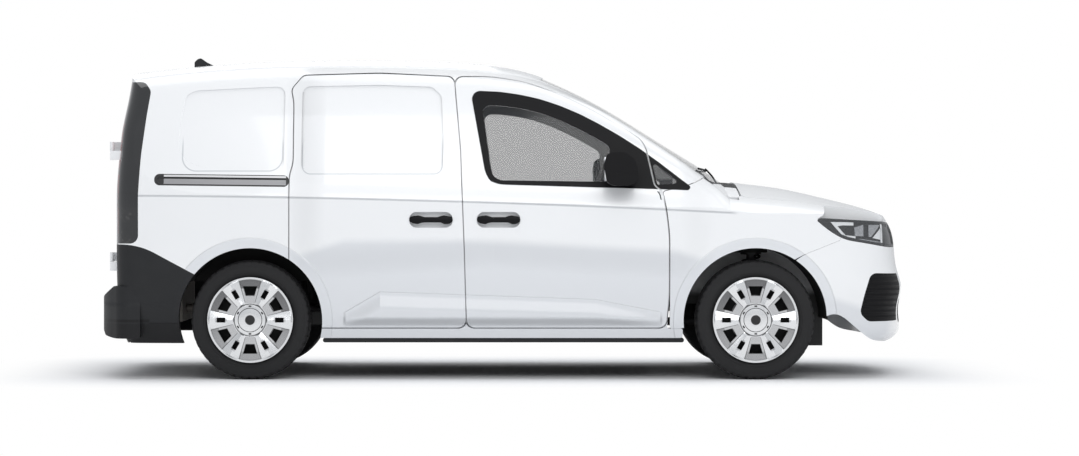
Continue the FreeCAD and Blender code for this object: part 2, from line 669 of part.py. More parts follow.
def make_wing(hull):
    low_y, high_y = SIDE_INNER_SHARE * HALF_WIDTH, HALF_WIDTH + OVERRUN
    wing = hull_block(hull, side_view(wing_shares), 0.0, SKIN)
    cutters = both_arches(ARCH_RADIUS)
    cutters.append(box(-LENGTH, LENGTH, 0, HALF_WIDTH - DOOR_THICKNESS, 0, MIDDLE_Z))
    cutters.append(hollow(WALL, 0, cowl_shares[1] * LENGTH + SEAM))
    for outline in (mirrored_plan(bonnet_edge_shares, None, BONNET_NOSE_SHARE),
                    scuttle_outline(), screen_outline()):
        cutters.append(plan_prism(grown(outline, DOOR_GAP), BONNET_CUT_Z, TOP_Z))
    cutters.append(side_prism(grown(side_view(headlamp_shares), SEAM), low_y, high_y))
    return largest(wing.cut(cutters))


def scuttle_outline():
    edge = scaled(scuttle_edge_shares, LENGTH, HALF_WIDTH)
    return edge + [(x, -y) for x, y in reversed(edge)]


def make_scuttle(hull):
    block = plan_block(hull, scuttle_outline(), MIDDLE_Z, -SEAM)
    outline = grown(screen_outline(), SEAM)
    block = block.cut(plan_prism(outline, MIDDLE_Z, TOP_Z))
    return largest(layer(moved(block, z=-DOOR_GAP), z=-BONNET_THICKNESS))


def make_bonnet(hull):
    block = plan_block(hull, mirrored_plan(bonnet_edge_shares, None, BONNET_NOSE_SHARE), BONNET_LOW_Z)
    return largest(layer(block, x=-BONNET_THICKNESS / 3, z=-BONNET_THICKNESS))


RACK_HOLE_RADIUS = 4.0
RACK_HOLE_DEPTH = 28.0
RACK_HOLE_Y = 540.0
RACK_HOLE_Z = 1722.0
rack_shares = (-0.2890, -0.0840)


def make_roof(hull):
    """The roof panel with its bows, and four blind threaded holes for a roof rack."""
    block = plan_block(hull, roof_outline(), MIDDLE_Z)
    block = block.cut(side_prism(side_view(roof_under_shares), -HALF_WIDTH, HALF_WIDTH))
    holes = [round_bar(V(x * LENGTH, y, RACK_HOLE_Z - RACK_HOLE_DEPTH / 2), V(x * LENGTH, y, HEIGHT),
                       RACK_HOLE_RADIUS) for x in rack_shares for y in (-RACK_HOLE_Y, RACK_HOLE_Y)]
    doors = [rear_prism(grown(rear_door_outline(side), DOOR_GAP), -LENGTH, REAR_ZONE_X)
             for side in (1, -1)]
    return largest(block.cut(holes + doors))


def make_windscreen(hull):
    block = moved(plan_block(hull, screen_outline(), MIDDLE_Z, -SEAM), z=-GLASS_DEPTH)
    return largest(layer(block, z=-GLASS))


def front_inner(low_z, high_z):
    outline = mirrored_plan(front_inner_shares, None, FRONT_INNER_NOSE_SHARE)
    return plan_prism(outline, low_z, high_z)


GRILLE_HALF_WIDTH = 470.0
GRILLE_LOW_Z = 610.0
GRILLE_TOP_Z = 850.0
GRILLE_BARS = 5
BAR_START_SHARE = 0.30
BAR_SLOT_SHARE = 0.40
GRILLE_SLOT_HALF_WIDTH = 437.0
LOW_GRILLE_HALF_WIDTH = 560.0
LOW_GRILLE_LOW_Z = 300.0
LOW_GRILLE_TOP_Z = 430.0


def grille_opening(half_width, low_z, high_z, grow):
    points = [(-half_width, low_z), (half_width, low_z), (half_width, high_z),
              (-half_width, high_z)]
    return rear_prism(grown(points, grow), FRONT_ZONE_X, LENGTH, CORNER_RADIUS)


def make_bumper(hull):
    """The painted front panel and bumper, hollow behind, open for lamps, grilles and intakes."""
    outline = side_view(bumper_shares)
    block = hull.common(side_prism(outline, -HALF_WIDTH - OVERRUN, HALF_WIDTH + OVERRUN, SKIN))
    low_y = SIDE_INNER_SHARE * HALF_WIDTH
    cutters = [front_inner(0, GRILLE_TOP_Z)]
    cutters.append(plan_prism(grown(mirrored_plan(bonnet_edge_shares, None, BONNET_NOSE_SHARE),
                                    DOOR_GAP), BONNET_CUT_Z, TOP_Z))
    cutters.append(grille_opening(GRILLE_HALF_WIDTH, GRILLE_LOW_Z, GRILLE_TOP_Z, SEAM))
    cutters.append(grille_opening(LOW_GRILLE_HALF_WIDTH, LOW_GRILLE_LOW_Z, LOW_GRILLE_TOP_Z, SEAM))
    for one in (arch_cutter(FRONT_AXLE_X, ARCH_RADIUS),
                side_prism(grown(side_view(headlamp_shares), SEAM), GRILLE_HALF_WIDTH, OUTSIDE_Y),
                side_prism(grown(side_view(intake_shares), SEAM), LOW_GRILLE_HALF_WIDTH + OVERRUN,
                           OUTSIDE_Y)):
        cutters += [one, mirrored(one)]
    return largest(block.cut(cutters))


def make_headlamp(hull):
    points = side_view(headlamp_shares)
    prism = side_prism(points, GRILLE_HALF_WIDTH + SEAM, HALF_WIDTH + OVERRUN)
    return largest(hull.common(prism).cut(front_inner(0, HEIGHT)))


def make_grille(hull):
    """The black bars between the lamps, the lower mesh and the two side intakes."""
    opening = grille_opening(GRILLE_HALF_WIDTH, GRILLE_LOW_Z, GRILLE_TOP_Z, 0)
    upper = hull.common(opening).cut(front_inner(0, GRILLE_TOP_Z + OVERRUN))
    pitch = (GRILLE_TOP_Z - GRILLE_LOW_Z) / GRILLE_BARS
    slots = []
    for i in range(GRILLE_BARS):
        low = GRILLE_LOW_Z + pitch * (i + BAR_START_SHARE)
        slots.append(box(FRONT_ZONE_X, LENGTH, -GRILLE_SLOT_HALF_WIDTH, GRILLE_SLOT_HALF_WIDTH,
                         low, low + pitch * BAR_SLOT_SHARE))
    upper = upper.cut(slots)
    lower = hull.common(grille_opening(LOW_GRILLE_HALF_WIDTH, LOW_GRILLE_LOW_Z,
                                       LOW_GRILLE_TOP_Z, 0)).cut(front_inner(0, HEIGHT))
    intake = hull.common(side_prism(side_view(intake_shares), LOW_GRILLE_HALF_WIDTH + OVERRUN + SEAM,
                                    OUTSIDE_Y)).cut(front_inner(0, HEIGHT))
    intake = largest(intake)
    return Part.makeCompound([largest(upper), largest(lower), intake, mirrored(intake)])


# Rear end.
REAR_BUMPER_PROUD = 105.0
REAR_BUMPER_DEPTH = 150.0
REAR_BUMPER_WALL = 27.0
REAR_CORNER_WALL = 54.0
REAR_CORNER_HOLLOW_X = -2070.0
bumper_plan_shares = [(0.10, 0.55), (0.33, 0.80), (1.38, 0.965), (3.14, 0.965)]
REAR_BUMPER_HOLLOW_SHARE = 0.80
rear_bumper_shares = [(0.0, 0.2850), (0.55, 0.2600), (0.96, 0.2400), (1.0, 0.2000), (0.85, 0.1600),
                      (0.55, 0.1330), (0.0, 0.1250)]
bumper_corner_shares = [(-0.4900, 0.4130), (-0.4440, 0.4130), (-0.3780, 0.3240), (-0.3100, 0.2400),
                        (-0.3300, 0.1100), (-0.4900, 0.1100)]
HINGE_RADIUS = 11.0
HINGE_HEIGHT = 100.0
HINGE_ARM = 50.0
HINGE_THICKNESS = 8.0
REAR_HINGE_X = -2165.0
REAR_HINGE_Y = 752.0
REAR_HINGE_Z = (592.0, 1200.0)


def tail_lamp_zone():
    zone = side_prism(side_view(tail_lamp_shares), SIDE_INNER_SHARE * HALF_WIDTH, HALF_WIDTH + OVERRUN)
    return zone.cut(rear_prism(grown(rear_door_outline(1), DOOR_GAP), -LENGTH, 0))


def make_tail_lamp(hull):
    lamp = hull.common(tail_lamp_zone())
    return largest(lamp.cut(hollow(WALL, -LENGTH / 2 + WALL, 0)))


def rear_hinge(low_z, side, toward):
    """One half of a barrel hinge, its arm reaching sideways and back to the body."""
    half = HINGE_HEIGHT / 2
    if toward < 0:
        low_z += half + SEAM
    barrel = Part.makeCylinder(HINGE_RADIUS, half - SEAM, V(REAR_HINGE_X, side * REAR_HINGE_Y, low_z))
    reach = sorted((side * REAR_HINGE_Y, side * (REAR_HINGE_Y + toward * HINGE_ARM)))
    arm = box(REAR_HINGE_X - HINGE_THICKNESS / 2, REAR_HINGE_X + HINGE_THICKNESS / 2, *reach,
              low_z, low_z + half - SEAM)
    foot_y = side * (REAR_HINGE_Y + toward * (HINGE_ARM - HINGE_THICKNESS))
    foot = box(REAR_HINGE_X, REAR_HINGE_X + HINGE_ARM * 2, *sorted((foot_y, foot_y + side * toward
                                                                     * HINGE_THICKNESS)),
               low_z, low_z + half - SEAM)
    return barrel.fuse([arm, foot])


def make_rear_hinges(hull):
    """The halves of the rear door hinges that stand on the body's corners."""
    skin = moved(hull, x=-SEAM)
    halves = [largest(rear_hinge(z, side, 1).cut(skin)) for z in REAR_HINGE_Z for side in (1, -1)]
    return Part.makeCompound(halves)


def make_rear_door(hull, side):
    outline = rear_door_outline(side)
    block = hull.common(rear_prism(outline, -LENGTH / 2, REAR_ZONE_X))
    door = block.cut(moved(block, x=DOOR_THICKNESS))
    door = largest(door).cut(rear_prism(rear_glass_outline(side), -LENGTH / 2, REAR_ZONE_X))
    inside = moved(hull, x=DOOR_THICKNESS / 2)
    return largest(door.fuse([rear_hinge(z, side, -1).cut(inside) for z in REAR_HINGE_Z]))


def rear_glass_outline(side):
    split = REAR_SPLIT_SHARE * HALF_WIDTH + side * REAR_GLASS_MARGIN
    edge = [(side * y * HALF_WIDTH, z * HEIGHT) for y, z in rear_glass_shares]
    return [(split, edge[0][1])] + edge + [(split, edge[-1][1])]


def make_rear_glass(hull, side):
    outline = grown(rear_glass_outline(side), -SEAM)
    block = moved(hull.common(rear_prism(outline, -LENGTH / 2, REAR_ZONE_X)), x=GLASS_DEPTH)
    return largest(block.cut(moved(block, x=GLASS)))


def make_rear_bumper(hull):
    """The black rear bumper: a curved beam across the tail with a corner piece on each side."""
    tail_x = -TAIL_SHARE * LENGTH / 2
    profile = [(tail_x + REAR_BUMPER_DEPTH, rear_bumper_shares[0][1] * HEIGHT)]
    profile += [(tail_x - REAR_BUMPER_PROUD * a, z * HEIGHT) for a, z in rear_bumper_shares]
    profile.append((tail_x + REAR_BUMPER_DEPTH, rear_bumper_shares[-1][1] * HEIGHT))
    beam = side_prism(profile, -HALF_WIDTH, HALF_WIDTH, SKIN)
    back = tail_x - REAR_BUMPER_PROUD
    plan = [(back, 0.0)]
    plan += [(back + REAR_BUMPER_PROUD * a, HALF_WIDTH * b) for a, b in bumper_plan_shares]
    plan += [(x, -y) for x, y in reversed(plan[1:])]
    beam = beam.common(plan_prism(plan, 0, HEIGHT, WALL))
    beam = beam.cut(box(tail_x + REAR_BUMPER_WALL, 0, -HALF_WIDTH * REAR_BUMPER_HOLLOW_SHARE,
                        HALF_WIDTH * REAR_BUMPER_HOLLOW_SHARE, 0, HEIGHT))
    corner = hull_block(hull, side_view(bumper_corner_shares), -SEAM, SKIN)
    corner = corner.cut([hollow(REAR_CORNER_WALL, REAR_CORNER_HOLLOW_X, 0),
                         arch_cutter(REAR_AXLE_X, ARCH_RADIUS),
                         rear_prism(grown(rear_door_outline(1), DOOR_GAP), -LENGTH, 0),
                         box(-LENGTH / 2, 0, 0, rear_door_shares[0][0] * HALF_WIDTH + DOOR_GAP,
                             profile[0][1], HEIGHT)])
    corner = largest(corner)
    return largest(beam.fuse([corner, mirrored(corner)]))


# Glass and trim of the side windows.
TRIM_THICKNESS = 2.2
TRIM_MARGIN = 1.0


def window_trim(hull):
    """The black surround of both side windows, laid on the skin."""
    block = moved(hull_block(hull, side_view(trim_shares)), y=TRIM_THICKNESS)
    return block.cut(moved(hull, y=SEAM))


def make_door_trim(trim):
    """The door's share of the surround, with the plain panel that carries the mirror."""
    door = side_prism(grown(side_view(front_door_shares), -TRIM_MARGIN), 0.0, HALF_WIDTH + OVERRUN)
    opening = side_prism(side_view(door_glass_shares), 0.0, HALF_WIDTH + OVERRUN)
    return largest(trim.common(door).cut(opening))


def make_quarter_trim(trim):
    """The surround of the fixed glass in front of the door."""
    door = side_prism(grown(side_view(front_door_shares), DOOR_GAP + TRIM_MARGIN), 0.0,
                      HALF_WIDTH + OVERRUN)
    opening = side_prism(side_view(quarter_glass_shares), 0.0, HALF_WIDTH + OVERRUN, SKIN)
    return largest(trim.cut([door, opening]))


def make_door_glass(hull):
    block = hull_block(hull, side_view(door_glass_shares), REBATE - SEAM)
    block = moved(block, y=-GLASS_DEPTH - SEAM)
    return largest(block.cut(moved(block, y=-GLASS)))


# Wheels.
def revolved(profile, x, y, side):
    """A solid of revolution about a wheel's axle. Profile points are (radius, outward place)."""
    points = [V(x, y + side * out, TYRE_RADIUS + radius) for radius, out in profile]
    face = Part.Face(Part.makePolygon(points + points[:1]))
    return face.revolve(V(x, y, TYRE_RADIUS), V(0, 1, 0), 360)


def make_tyre(x, y, side):
    bore, half = RIM_RADIUS + SEAM, TYRE_WIDTH / 2
    right = [(bore, half), (TYRE_RADIUS - SHOULDER_DROP, half), (TYRE_RADIUS, half * TREAD_SHARE)]
    return revolved(right + [(r, -o) for r, o in reversed(right)], x, y, side)


def wheel_cut(corners, angle, x, y, side, near=0.0):
    """A cut into the wheel's face from a depth outwards. Corners are (outward, across)."""
    ahead, across = V(math.sin(angle), 0, math.cos(angle)), V(math.cos(angle), 0, -math.sin(angle))
    centre = V(x, y + side * near, TYRE_RADIUS)
    points = [centre + ahead * r + across * t for r, t in corners]
    return Part.Face(Part.makePolygon(points + points[:1])).extrude(V(0, side * TYRE_WIDTH, 0))


def both_ways(corners):
    return corners + [(r, -t) for r, t in reversed(corners)]


def make_wheel(x, y, side):
    """The rim with its cover of six double spokes, the hub sleeve and the blank cap."""
    seat, inner = TYRE_WIDTH / 2 + SEAM, RIM_RADIUS - RIM_WALL
    barrel = revolved([(RIM_RADIUS, -seat), (RIM_RADIUS, seat), (inner, seat), (inner, -seat)], x, y, side)
    cover = turned_disc(x, y, side, seat, COVER_OUT, COVER_RADIUS)
    slot = both_ways([(SLOT_IN, SLOT_WIDTH / 2), (SLOT_OUT, SLOT_WIDTH / 2)])
    window = both_ways([(WINDOW_IN, WINDOW_IN_WIDTH / 2), (WINDOW_OUT, WINDOW_OUT_WIDTH / 2)])
    pocket = both_ways([(WINDOW_OUT, WINDOW_OUT_WIDTH / 2), (POCKET_SHOULDER, POCKET_WIDTH / 2),
                        (POCKET_OUT, 0.0)])
    pocket.remove((POCKET_OUT, 0.0))
    cuts = []
    pitch = 2 * math.pi / SPOKES
    for i in range(SPOKES):
        cuts.append(wheel_cut(slot, pitch * (i + 1 / 2), x, y, side))
        cuts.append(wheel_cut(window, pitch * i, x, y, side))
        cuts.append(wheel_cut(pocket, pitch * i, x, y, side, COVER_OUT - POCKET_DEPTH))
    face_out = COVER_OUT + HUB_FACE_PROUD
    face = turned_disc(x, y, side, seat, face_out, HUB_FACE_RADIUS)
    sleeve = turned_disc(x, y, side, COVER_OUT - HUB_LENGTH, COVER_OUT, HUB_RADIUS)
    cap = turned_disc(x, y, side, face_out, face_out + CENTRE_CAP_PROUD, CENTRE_CAP_RADIUS)
    bore = turned_disc(x, y, side, 0.0, STUB_OUT + STUB_END_CLEARANCE, STUB_RADIUS + RUNNING_CLEARANCE)
    return largest(barrel.fuse([cover.cut(cuts), face, sleeve, cap]).cut(bore))


def turned_disc(x, y, side, near, far, radius):
    """A disc about the axle between two places outwards of the wheel's middle."""
    return round_bar(V(x, y + side * near, TYRE_RADIUS), V(x, y + side * far, TYRE_RADIUS), radius)


def wheel_places():
    for end, x in (("front", FRONT_AXLE_X), ("rear", REAR_AXLE_X)):
        for hand, side in (("left", 1), ("right", -1)):
            yield end, hand, side, x


def make_knuckle(side):
    """Steering knuckle: king pin, upright, brake disc and wheel stub."""
    x, y, z = FRONT_AXLE_X, side * KING_PIN_Y, TYRE_RADIUS
    pin = round_bar(V(x, y, KING_PIN_LOW_Z), V(x, y, KING_PIN_TOP_Z), KING_PIN_RADIUS)
    low_y, high_y = y - KNUCKLE_THICKNESS / 2, y + KNUCKLE_THICKNESS / 2
    foot_z = SUBFRAME_LOW_Z + ARM_THICKNESS + SEAM
    head_z = KING_PIN_TOP_Z - ARM_THICKNESS
    half, neck = KNUCKLE_WIDTH / 2, KING_PIN_EYE
    upright = side_prism([(x - half, foot_z), (x + half, foot_z), (x + half, z + half), (x + neck, head_z),
                          (x - neck, head_z), (x - half, z + half)], low_y, high_y, SKIN)
    stub = round_bar(V(x, y, z), V(x, side * (WHEEL_Y + STUB_OUT), z), STUB_RADIUS)
    disc = round_bar(V(x, y + side * DISC_OUT, z), V(x, y + side * (DISC_OUT + DISC_THICKNESS), z),
                     DISC_RADIUS)
    return pin.fuse([upright, stub, disc])


# Front suspension and the structure of the engine bay.
SUBFRAME_WIDTH = 840.0
SUBFRAME_DEPTH = 300.0
SUBFRAME_HEIGHT = 60.0
SUBFRAME_LOW_Z = 164.0
SUBFRAME_RAIL = 68.0
ENGINE_LENGTH = 440.0
ENGINE_WIDTH = 680.0
ENGINE_HEIGHT = 520.0
ENGINE_X = 1560.0
MOUNT_RADIUS = 75.0
TOWER_RADIUS = 90.0
TOWER_CLEARANCE = 3.0
TOWER_LOW_Z = 690.0
TOWER_TOP_Z = 880.0
TOWER_PLATE = 14.0
LEG_IN_Y = 362.0
LEG_OUT_Y = 432.0
LEG_LOW_Z = 400.0
LEG_TOP_Z = 520.0
LEG_FRONT_X = 2060.0
INNER_WING_TOP_Z = 800.0
INNER_WING_THICKNESS = 12.0
BEAM_DEPTH = 60.0
BEAM_HALF_WIDTH = 500.0
SLAM_HALF_WIDTH = 540.0
SLAM_TOP_Z = 838.0
SLAM_HEIGHT = 40.0
BUFFER_RADIUS = 14.0
RADIATOR_HALF_WIDTH = 340.0
RADIATOR_THICKNESS = 34.0
RADIATOR_LOW_Z = 420.0
COWL_Z = 945.0
COWL_THICKNESS = 20.0
cowl_shares = (0.2066, 0.2845)


def make_subframe():
    """Cross member with a forked arm to each king pin and a cradle for the engine."""
    x = FRONT_AXLE_X
    half = SUBFRAME_WIDTH / 2
    member = box(x - SUBFRAME_DEPTH / 2, x + SUBFRAME_DEPTH / 2, -half, half, SUBFRAME_LOW_Z,
                 SUBFRAME_LOW_Z + SUBFRAME_HEIGHT)
    front = ENGINE_X + ENGINE_LENGTH / 2
    arms = []
    for side in (1, -1):
        low_y, high_y = sorted((side * (half - SUBFRAME_RAIL), side * half))
        arms.append(box(x, front, low_y, high_y, SUBFRAME_LOW_Z, SUBFRAME_LOW_Z + SUBFRAME_HEIGHT))
        for post_x in (x - SUBFRAME_DEPTH / 2, front - SUBFRAME_RAIL):
            arms.append(box(post_x, post_x + SUBFRAME_RAIL, low_y, high_y, SUBFRAME_LOW_Z,
                            LEG_LOW_Z - SEAM))
        root_y, pin_y = side * (half - SUBFRAME_RAIL / 2), side * KING_PIN_Y
        plan = [(x - SUBFRAME_DEPTH / 2, root_y), (x - ARM_WIDTH / 2, pin_y),
                (x + ARM_WIDTH / 2, pin_y), (x + SUBFRAME_DEPTH / 2, root_y)]
        arm = plan_prism(plan, SUBFRAME_LOW_Z, SUBFRAME_LOW_Z + ARM_THICKNESS, SKIN)
        eye = Part.makeCylinder(ARM_WIDTH / 2, ARM_THICKNESS, V(x, pin_y, SUBFRAME_LOW_Z))
        bore = Part.makeCylinder(KING_PIN_RADIUS + RUNNING_CLEARANCE, ARM_THICKNESS,
                                 V(x, pin_y, KING_PIN_LOW_Z - SEAM))
        arms.append(arm.fuse(eye).cut(bore))
    return largest(member.fuse(arms))


def make_strut(side):
    """A telescopic strut with its spring, from the king pin's top to the tower."""
    x, y, top = FRONT_AXLE_X, side * STRUT_Y, TOWER_TOP_Z
    pin_y = side * KING_PIN_Y
    foot_z = KING_PIN_TOP_Z - ARM_THICKNESS + SEAM
    head_z = KING_PIN_TOP_Z + KING_PIN_RADIUS
    strut = round_bar(V(x, y, foot_z), V(x, y, top), STRUT_RADIUS)
    spring_low = TYRE_RADIUS * 2 + STRUT_RADIUS
    seat = round_bar(V(x, y, spring_low), V(x, y, spring_low + SPRING_SEAT_THICKNESS), SPRING_RADIUS)
    mount = round_bar(V(x, y, top - TOWER_PLATE), V(x, y, top), MOUNT_RADIUS)
    spring = round_bar(V(x, y, spring_low), V(x, y, top), SPRING_CORE_RADIUS)
    low_y, high_y = sorted((y, pin_y))
    bracket = box(x - KING_PIN_EYE, x + KING_PIN_EYE, low_y, high_y, foot_z, head_z)
    eye = round_bar(V(x, pin_y, foot_z), V(x, pin_y, head_z), KING_PIN_EYE)
    bore = round_bar(V(x, pin_y, foot_z), V(x, pin_y, KING_PIN_TOP_Z + SEAM),
                     KING_PIN_RADIUS + RUNNING_CLEARANCE)
    return largest(strut.fuse([seat, mount, spring, bracket, eye]).cut(bore))


def make_engine_bay(hull):
    """Chassis legs, wheel housings, strut towers, cowl, front beam and bonnet landing."""
    x, z, top = FRONT_AXLE_X, TYRE_RADIUS, TOWER_TOP_Z
    rear_x = floor_shares[-1][0] * LENGTH + FLOOR_THICKNESS + SEAM
    plates, holes = [], []
    for side in (1, -1):
        low_y, high_y = sorted((side * LEG_IN_Y, side * LEG_OUT_Y))
        plates.append(box(rear_x, LEG_FRONT_X, low_y, high_y, LEG_LOW_Z, LEG_TOP_Z))
        low_y, high_y = sorted((side * (LEG_OUT_Y - INNER_WING_THICKNESS), side * LEG_OUT_Y))
        plates.append(box(x - ARCH_RADIUS, x + ARCH_RADIUS, low_y, high_y, LEG_LOW_Z, INNER_WING_TOP_Z))
        plates.append(box(LEG_FRONT_X - BEAM_DEPTH, LEG_FRONT_X, low_y, high_y, LEG_LOW_Z, SLAM_TOP_Z))
        start, finish = V(x, side * LEG_OUT_Y, z), V(x, side * (HALF_WIDTH - DOOR_THICKNESS - SEAM), z)
        liner = round_bar(start, finish, ARCH_RADIUS + ARCH_LINER).cut(round_bar(start, finish, ARCH_RADIUS))
        low_y, high_y = sorted((0.0, side * HALF_WIDTH))
        plates.append(liner.common(box(0, LENGTH, low_y, high_y, z, HEIGHT)))
        y = side * STRUT_Y
        plates.append(round_bar(V(x, y, TOWER_LOW_Z), V(x, y, top + TOWER_PLATE), TOWER_RADIUS))
        plates.append(box(x - STRUT_RADIUS, x + STRUT_RADIUS, *sorted((y, side * LEG_OUT_Y)),
                          TOWER_LOW_Z + STRUT_RADIUS, INNER_WING_TOP_Z))
        holes.append(round_bar(V(x, y, z), V(x, y, top + SEAM), MOUNT_RADIUS + TOWER_CLEARANCE))
    plates.append(box(LEG_FRONT_X - BEAM_DEPTH, LEG_FRONT_X, -BEAM_HALF_WIDTH, BEAM_HALF_WIDTH,
                      LEG_LOW_Z, LEG_TOP_Z))
    plates.append(box(LEG_FRONT_X - BEAM_DEPTH, LEG_FRONT_X, -SLAM_HALF_WIDTH, SLAM_HALF_WIDTH,
                      SLAM_TOP_Z - SLAM_HEIGHT, SLAM_TOP_Z))
    bay = plates[0].fuse(plates[1:]).cut(holes)
    under = moved(hull, x=-BONNET_THICKNESS / 3, z=-BONNET_THICKNESS - SEAM)
    buffers = [round_bar(V(LEG_FRONT_X - BEAM_DEPTH / 2, y, SLAM_TOP_Z - SLAM_HEIGHT / 2),
                         V(LEG_FRONT_X - BEAM_DEPTH / 2, y, HEIGHT), BUFFER_RADIUS).common(under)
               for y in (-LEG_OUT_Y, LEG_OUT_Y)]
    return largest(bay.fuse(buffers))


def make_cowl(hull):
    """The shelf and wall between the cab and the engine bay, under the windscreen's foot."""
    low_x, high_x = [share * LENGTH for share in cowl_shares]
    shelf = box(low_x, high_x, -HALF_WIDTH, HALF_WIDTH, COWL_Z - COWL_THICKNESS, COWL_Z)
    wall = box(high_x - COWL_THICKNESS, high_x, -HALF_WIDTH, HALF_WIDTH, COWL_Z - COWL_THICKNESS, HEIGHT)
    foot_z = floor_shares[-1][1] * HEIGHT + SEAM
    foot = box(low_x, low_x + COWL_THICKNESS, -HALF_WIDTH, HALF_WIDTH, foot_z, COWL_Z)
    wall = wall.common(moved(hull, z=-DOOR_GAP - BONNET_THICKNESS - SEAM))
    return largest(shelf.fuse([wall, foot]).common(inside_width(WALL)))


def make_radiator():
    return box(LEG_FRONT_X - BEAM_DEPTH - SEAM - RADIATOR_THICKNESS, LEG_FRONT_X - BEAM_DEPTH - SEAM,
               -RADIATOR_HALF_WIDTH, RADIATOR_HALF_WIDTH, RADIATOR_LOW_Z, SLAM_TOP_Z)


def make_rear_axle():
    """Trailing twist beam with its two arms, wheel stubs, brake discs and springs."""
    x, z = REAR_AXLE_X, TYRE_RADIUS
    half_width, half_height = TRAILING_ARM_WIDTH / 2, AXLE_BEAM_HEIGHT / 2
    beam_x = x + TRAILING_ARM_LENGTH / 2
    front_x = x + TRAILING_ARM_LENGTH
    beam = box(beam_x - AXLE_BEAM_WIDTH / 2, beam_x + AXLE_BEAM_WIDTH / 2, -AXLE_ARM_Y, AXLE_ARM_Y,
               z - half_height, z + half_height)
    pieces = []
    for side in (1, -1):
        y = side * AXLE_ARM_Y
        pieces.append(box(x - half_height, front_x, y - half_width, y + half_width,
                          z - half_height, z + half_height))
        pieces.append(box(front_x - AXLE_BEAM_HEIGHT, front_x, y - half_width, y + half_width,
                          z - half_height, FLOOR_UNDER_Z - SEAM))
        pieces.append(round_bar(V(x, y, z), V(x, side * (WHEEL_Y + STUB_OUT), z), STUB_RADIUS))
        hub_y = y + side * half_width
        pieces.append(round_bar(V(x, hub_y, z), V(x, hub_y + side * DISC_THICKNESS, z), DISC_RADIUS))
        spring_y = y - side * (half_width + SPRING_RADIUS)
        pieces.append(round_bar(V(beam_x, spring_y, z), V(beam_x, spring_y, FLOOR_UNDER_Z - SEAM),
                                SPRING_RADIUS))
    return largest(beam.fuse(pieces))


FLOOR_TOP_Z = floor_shares[0][1] * HEIGHT
FLOOR_UNDER_Z = FLOOR_TOP_Z - FLOOR_THICKNESS


# Floor and cab.
def inside_width(hull_depth):
    return hollow(hull_depth + SEAM, -LENGTH / 2, LENGTH / 2)


def make_floor():
    """Load floor, cab floor and toe board in one folded pan with the rear wheel boxes.

    The bulkhead's foot stands in a groove across the load floor."""
    folds = side_view(floor_shares)
    room = [(-LENGTH, folds[0][1])] + folds[1:] + [(folds[-1][0], HEIGHT), (-LENGTH, HEIGHT)]
    solid = side_prism(grown(room, FLOOR_THICKNESS), -HALF_WIDTH, HALF_WIDTH, OVERRUN)
    solid = solid.cut(side_prism(room, -OUTSIDE_Y, OUTSIDE_Y, SKIN))
    pan = solid.common(box(folds[0][0], LENGTH, -HALF_WIDTH, HALF_WIDTH, 0, folds[-1][1]))
    boxes = []
    for side in (1, -1):
        low_y, high_y = sorted((side * (HALF_WIDTH - WALL - REAR_WHEELHOUSE_WIDTH), side * HALF_WIDTH))
        boxes.append(box(REAR_AXLE_X - ARCH_RADIUS - FLOOR_THICKNESS, REAR_AXLE_X + ARCH_RADIUS
                         + FLOOR_THICKNESS, low_y, high_y, FLOOR_TOP_Z,
                         FLOOR_TOP_Z + REAR_WHEELHOUSE_HEIGHT))
    pan = pan.fuse(boxes).common(inside_width(WALL))
    groove = box(BULKHEAD_X - SEAM, BULKHEAD_X + BULKHEAD_THICKNESS + SEAM, -HALF_WIDTH, HALF_WIDTH,
                 FLOOR_TOP_Z - BULKHEAD_GROOVE, HEIGHT)
    return largest(pan.cut([groove, *both_wheelhouses()]))


def both_wheelhouses():
    cutters = []
    for x in (FRONT_AXLE_X, REAR_AXLE_X):
        for side in (1, -1):
            start = V(x, side * (HALF_WIDTH - WALL - REAR_WHEELHOUSE_WIDTH + FLOOR_THICKNESS),
                      TYRE_RADIUS)
            if x > 0:
                start = V(x, side * FRONT_WHEELHOUSE_Y, TYRE_RADIUS)
            cutters.append(Part.makeCylinder(ARCH_RADIUS, HALF_WIDTH, start, V(0, side, 0)))
    return cutters


BULKHEAD_X = -330.0
BULKHEAD_THICKNESS = 25.0
BULKHEAD_GROOVE = 3.0


def make_bulkhead():
    """The full partition between the cab and the load space."""
    wall = box(BULKHEAD_X, BULKHEAD_X + BULKHEAD_THICKNESS, -HALF_WIDTH, HALF_WIDTH,
               FLOOR_TOP_Z - BULKHEAD_GROOVE + SEAM, HEIGHT)
    under = side_prism(grown(side_view(roof_under_shares), -SEAM), -HALF_WIDTH, HALF_WIDTH)
    return largest(wall.common(inside_width(WALL)).common(under))


dash_shares = [(0.2058, 0.4800), (0.2058, 0.5780), (0.1900, 0.5850), (0.1500, 0.5750),
               (0.1250, 0.5500), (0.1230, 0.5250), (0.1350, 0.4700), (0.1400, 0.3600),
               (0.1600, 0.3300), (0.1900, 0.3600)]


def make_dashboard():
    """The dashboard across the cab with the steering column's tube."""
    face = side_prism(side_view(dash_shares), -HALF_WIDTH, HALF_WIDTH, CORNER_RADIUS)
    face = face.common(inside_width(WALL)).cut(box(floor_shares[-1][0] * LENGTH - SEAM, LENGTH,
                                                   -HALF_WIDTH, HALF_WIDTH, 0, HEIGHT))
    centre = V(STEERING_X, SEAT_Y, STEERING_Z)
    axis = steering_axis()
    tube = round_bar(centre + axis * (STEERING_GRIP * 2 + DOOR_GAP), centre + axis * COLUMN_LENGTH,
                     COLUMN_RADIUS)
    bore = round_bar(centre, centre + axis * (SHAFT_LENGTH + SEAM), SHAFT_RADIUS + RUNNING_CLEARANCE)
    return largest(face.fuse(tube).cut(bore))


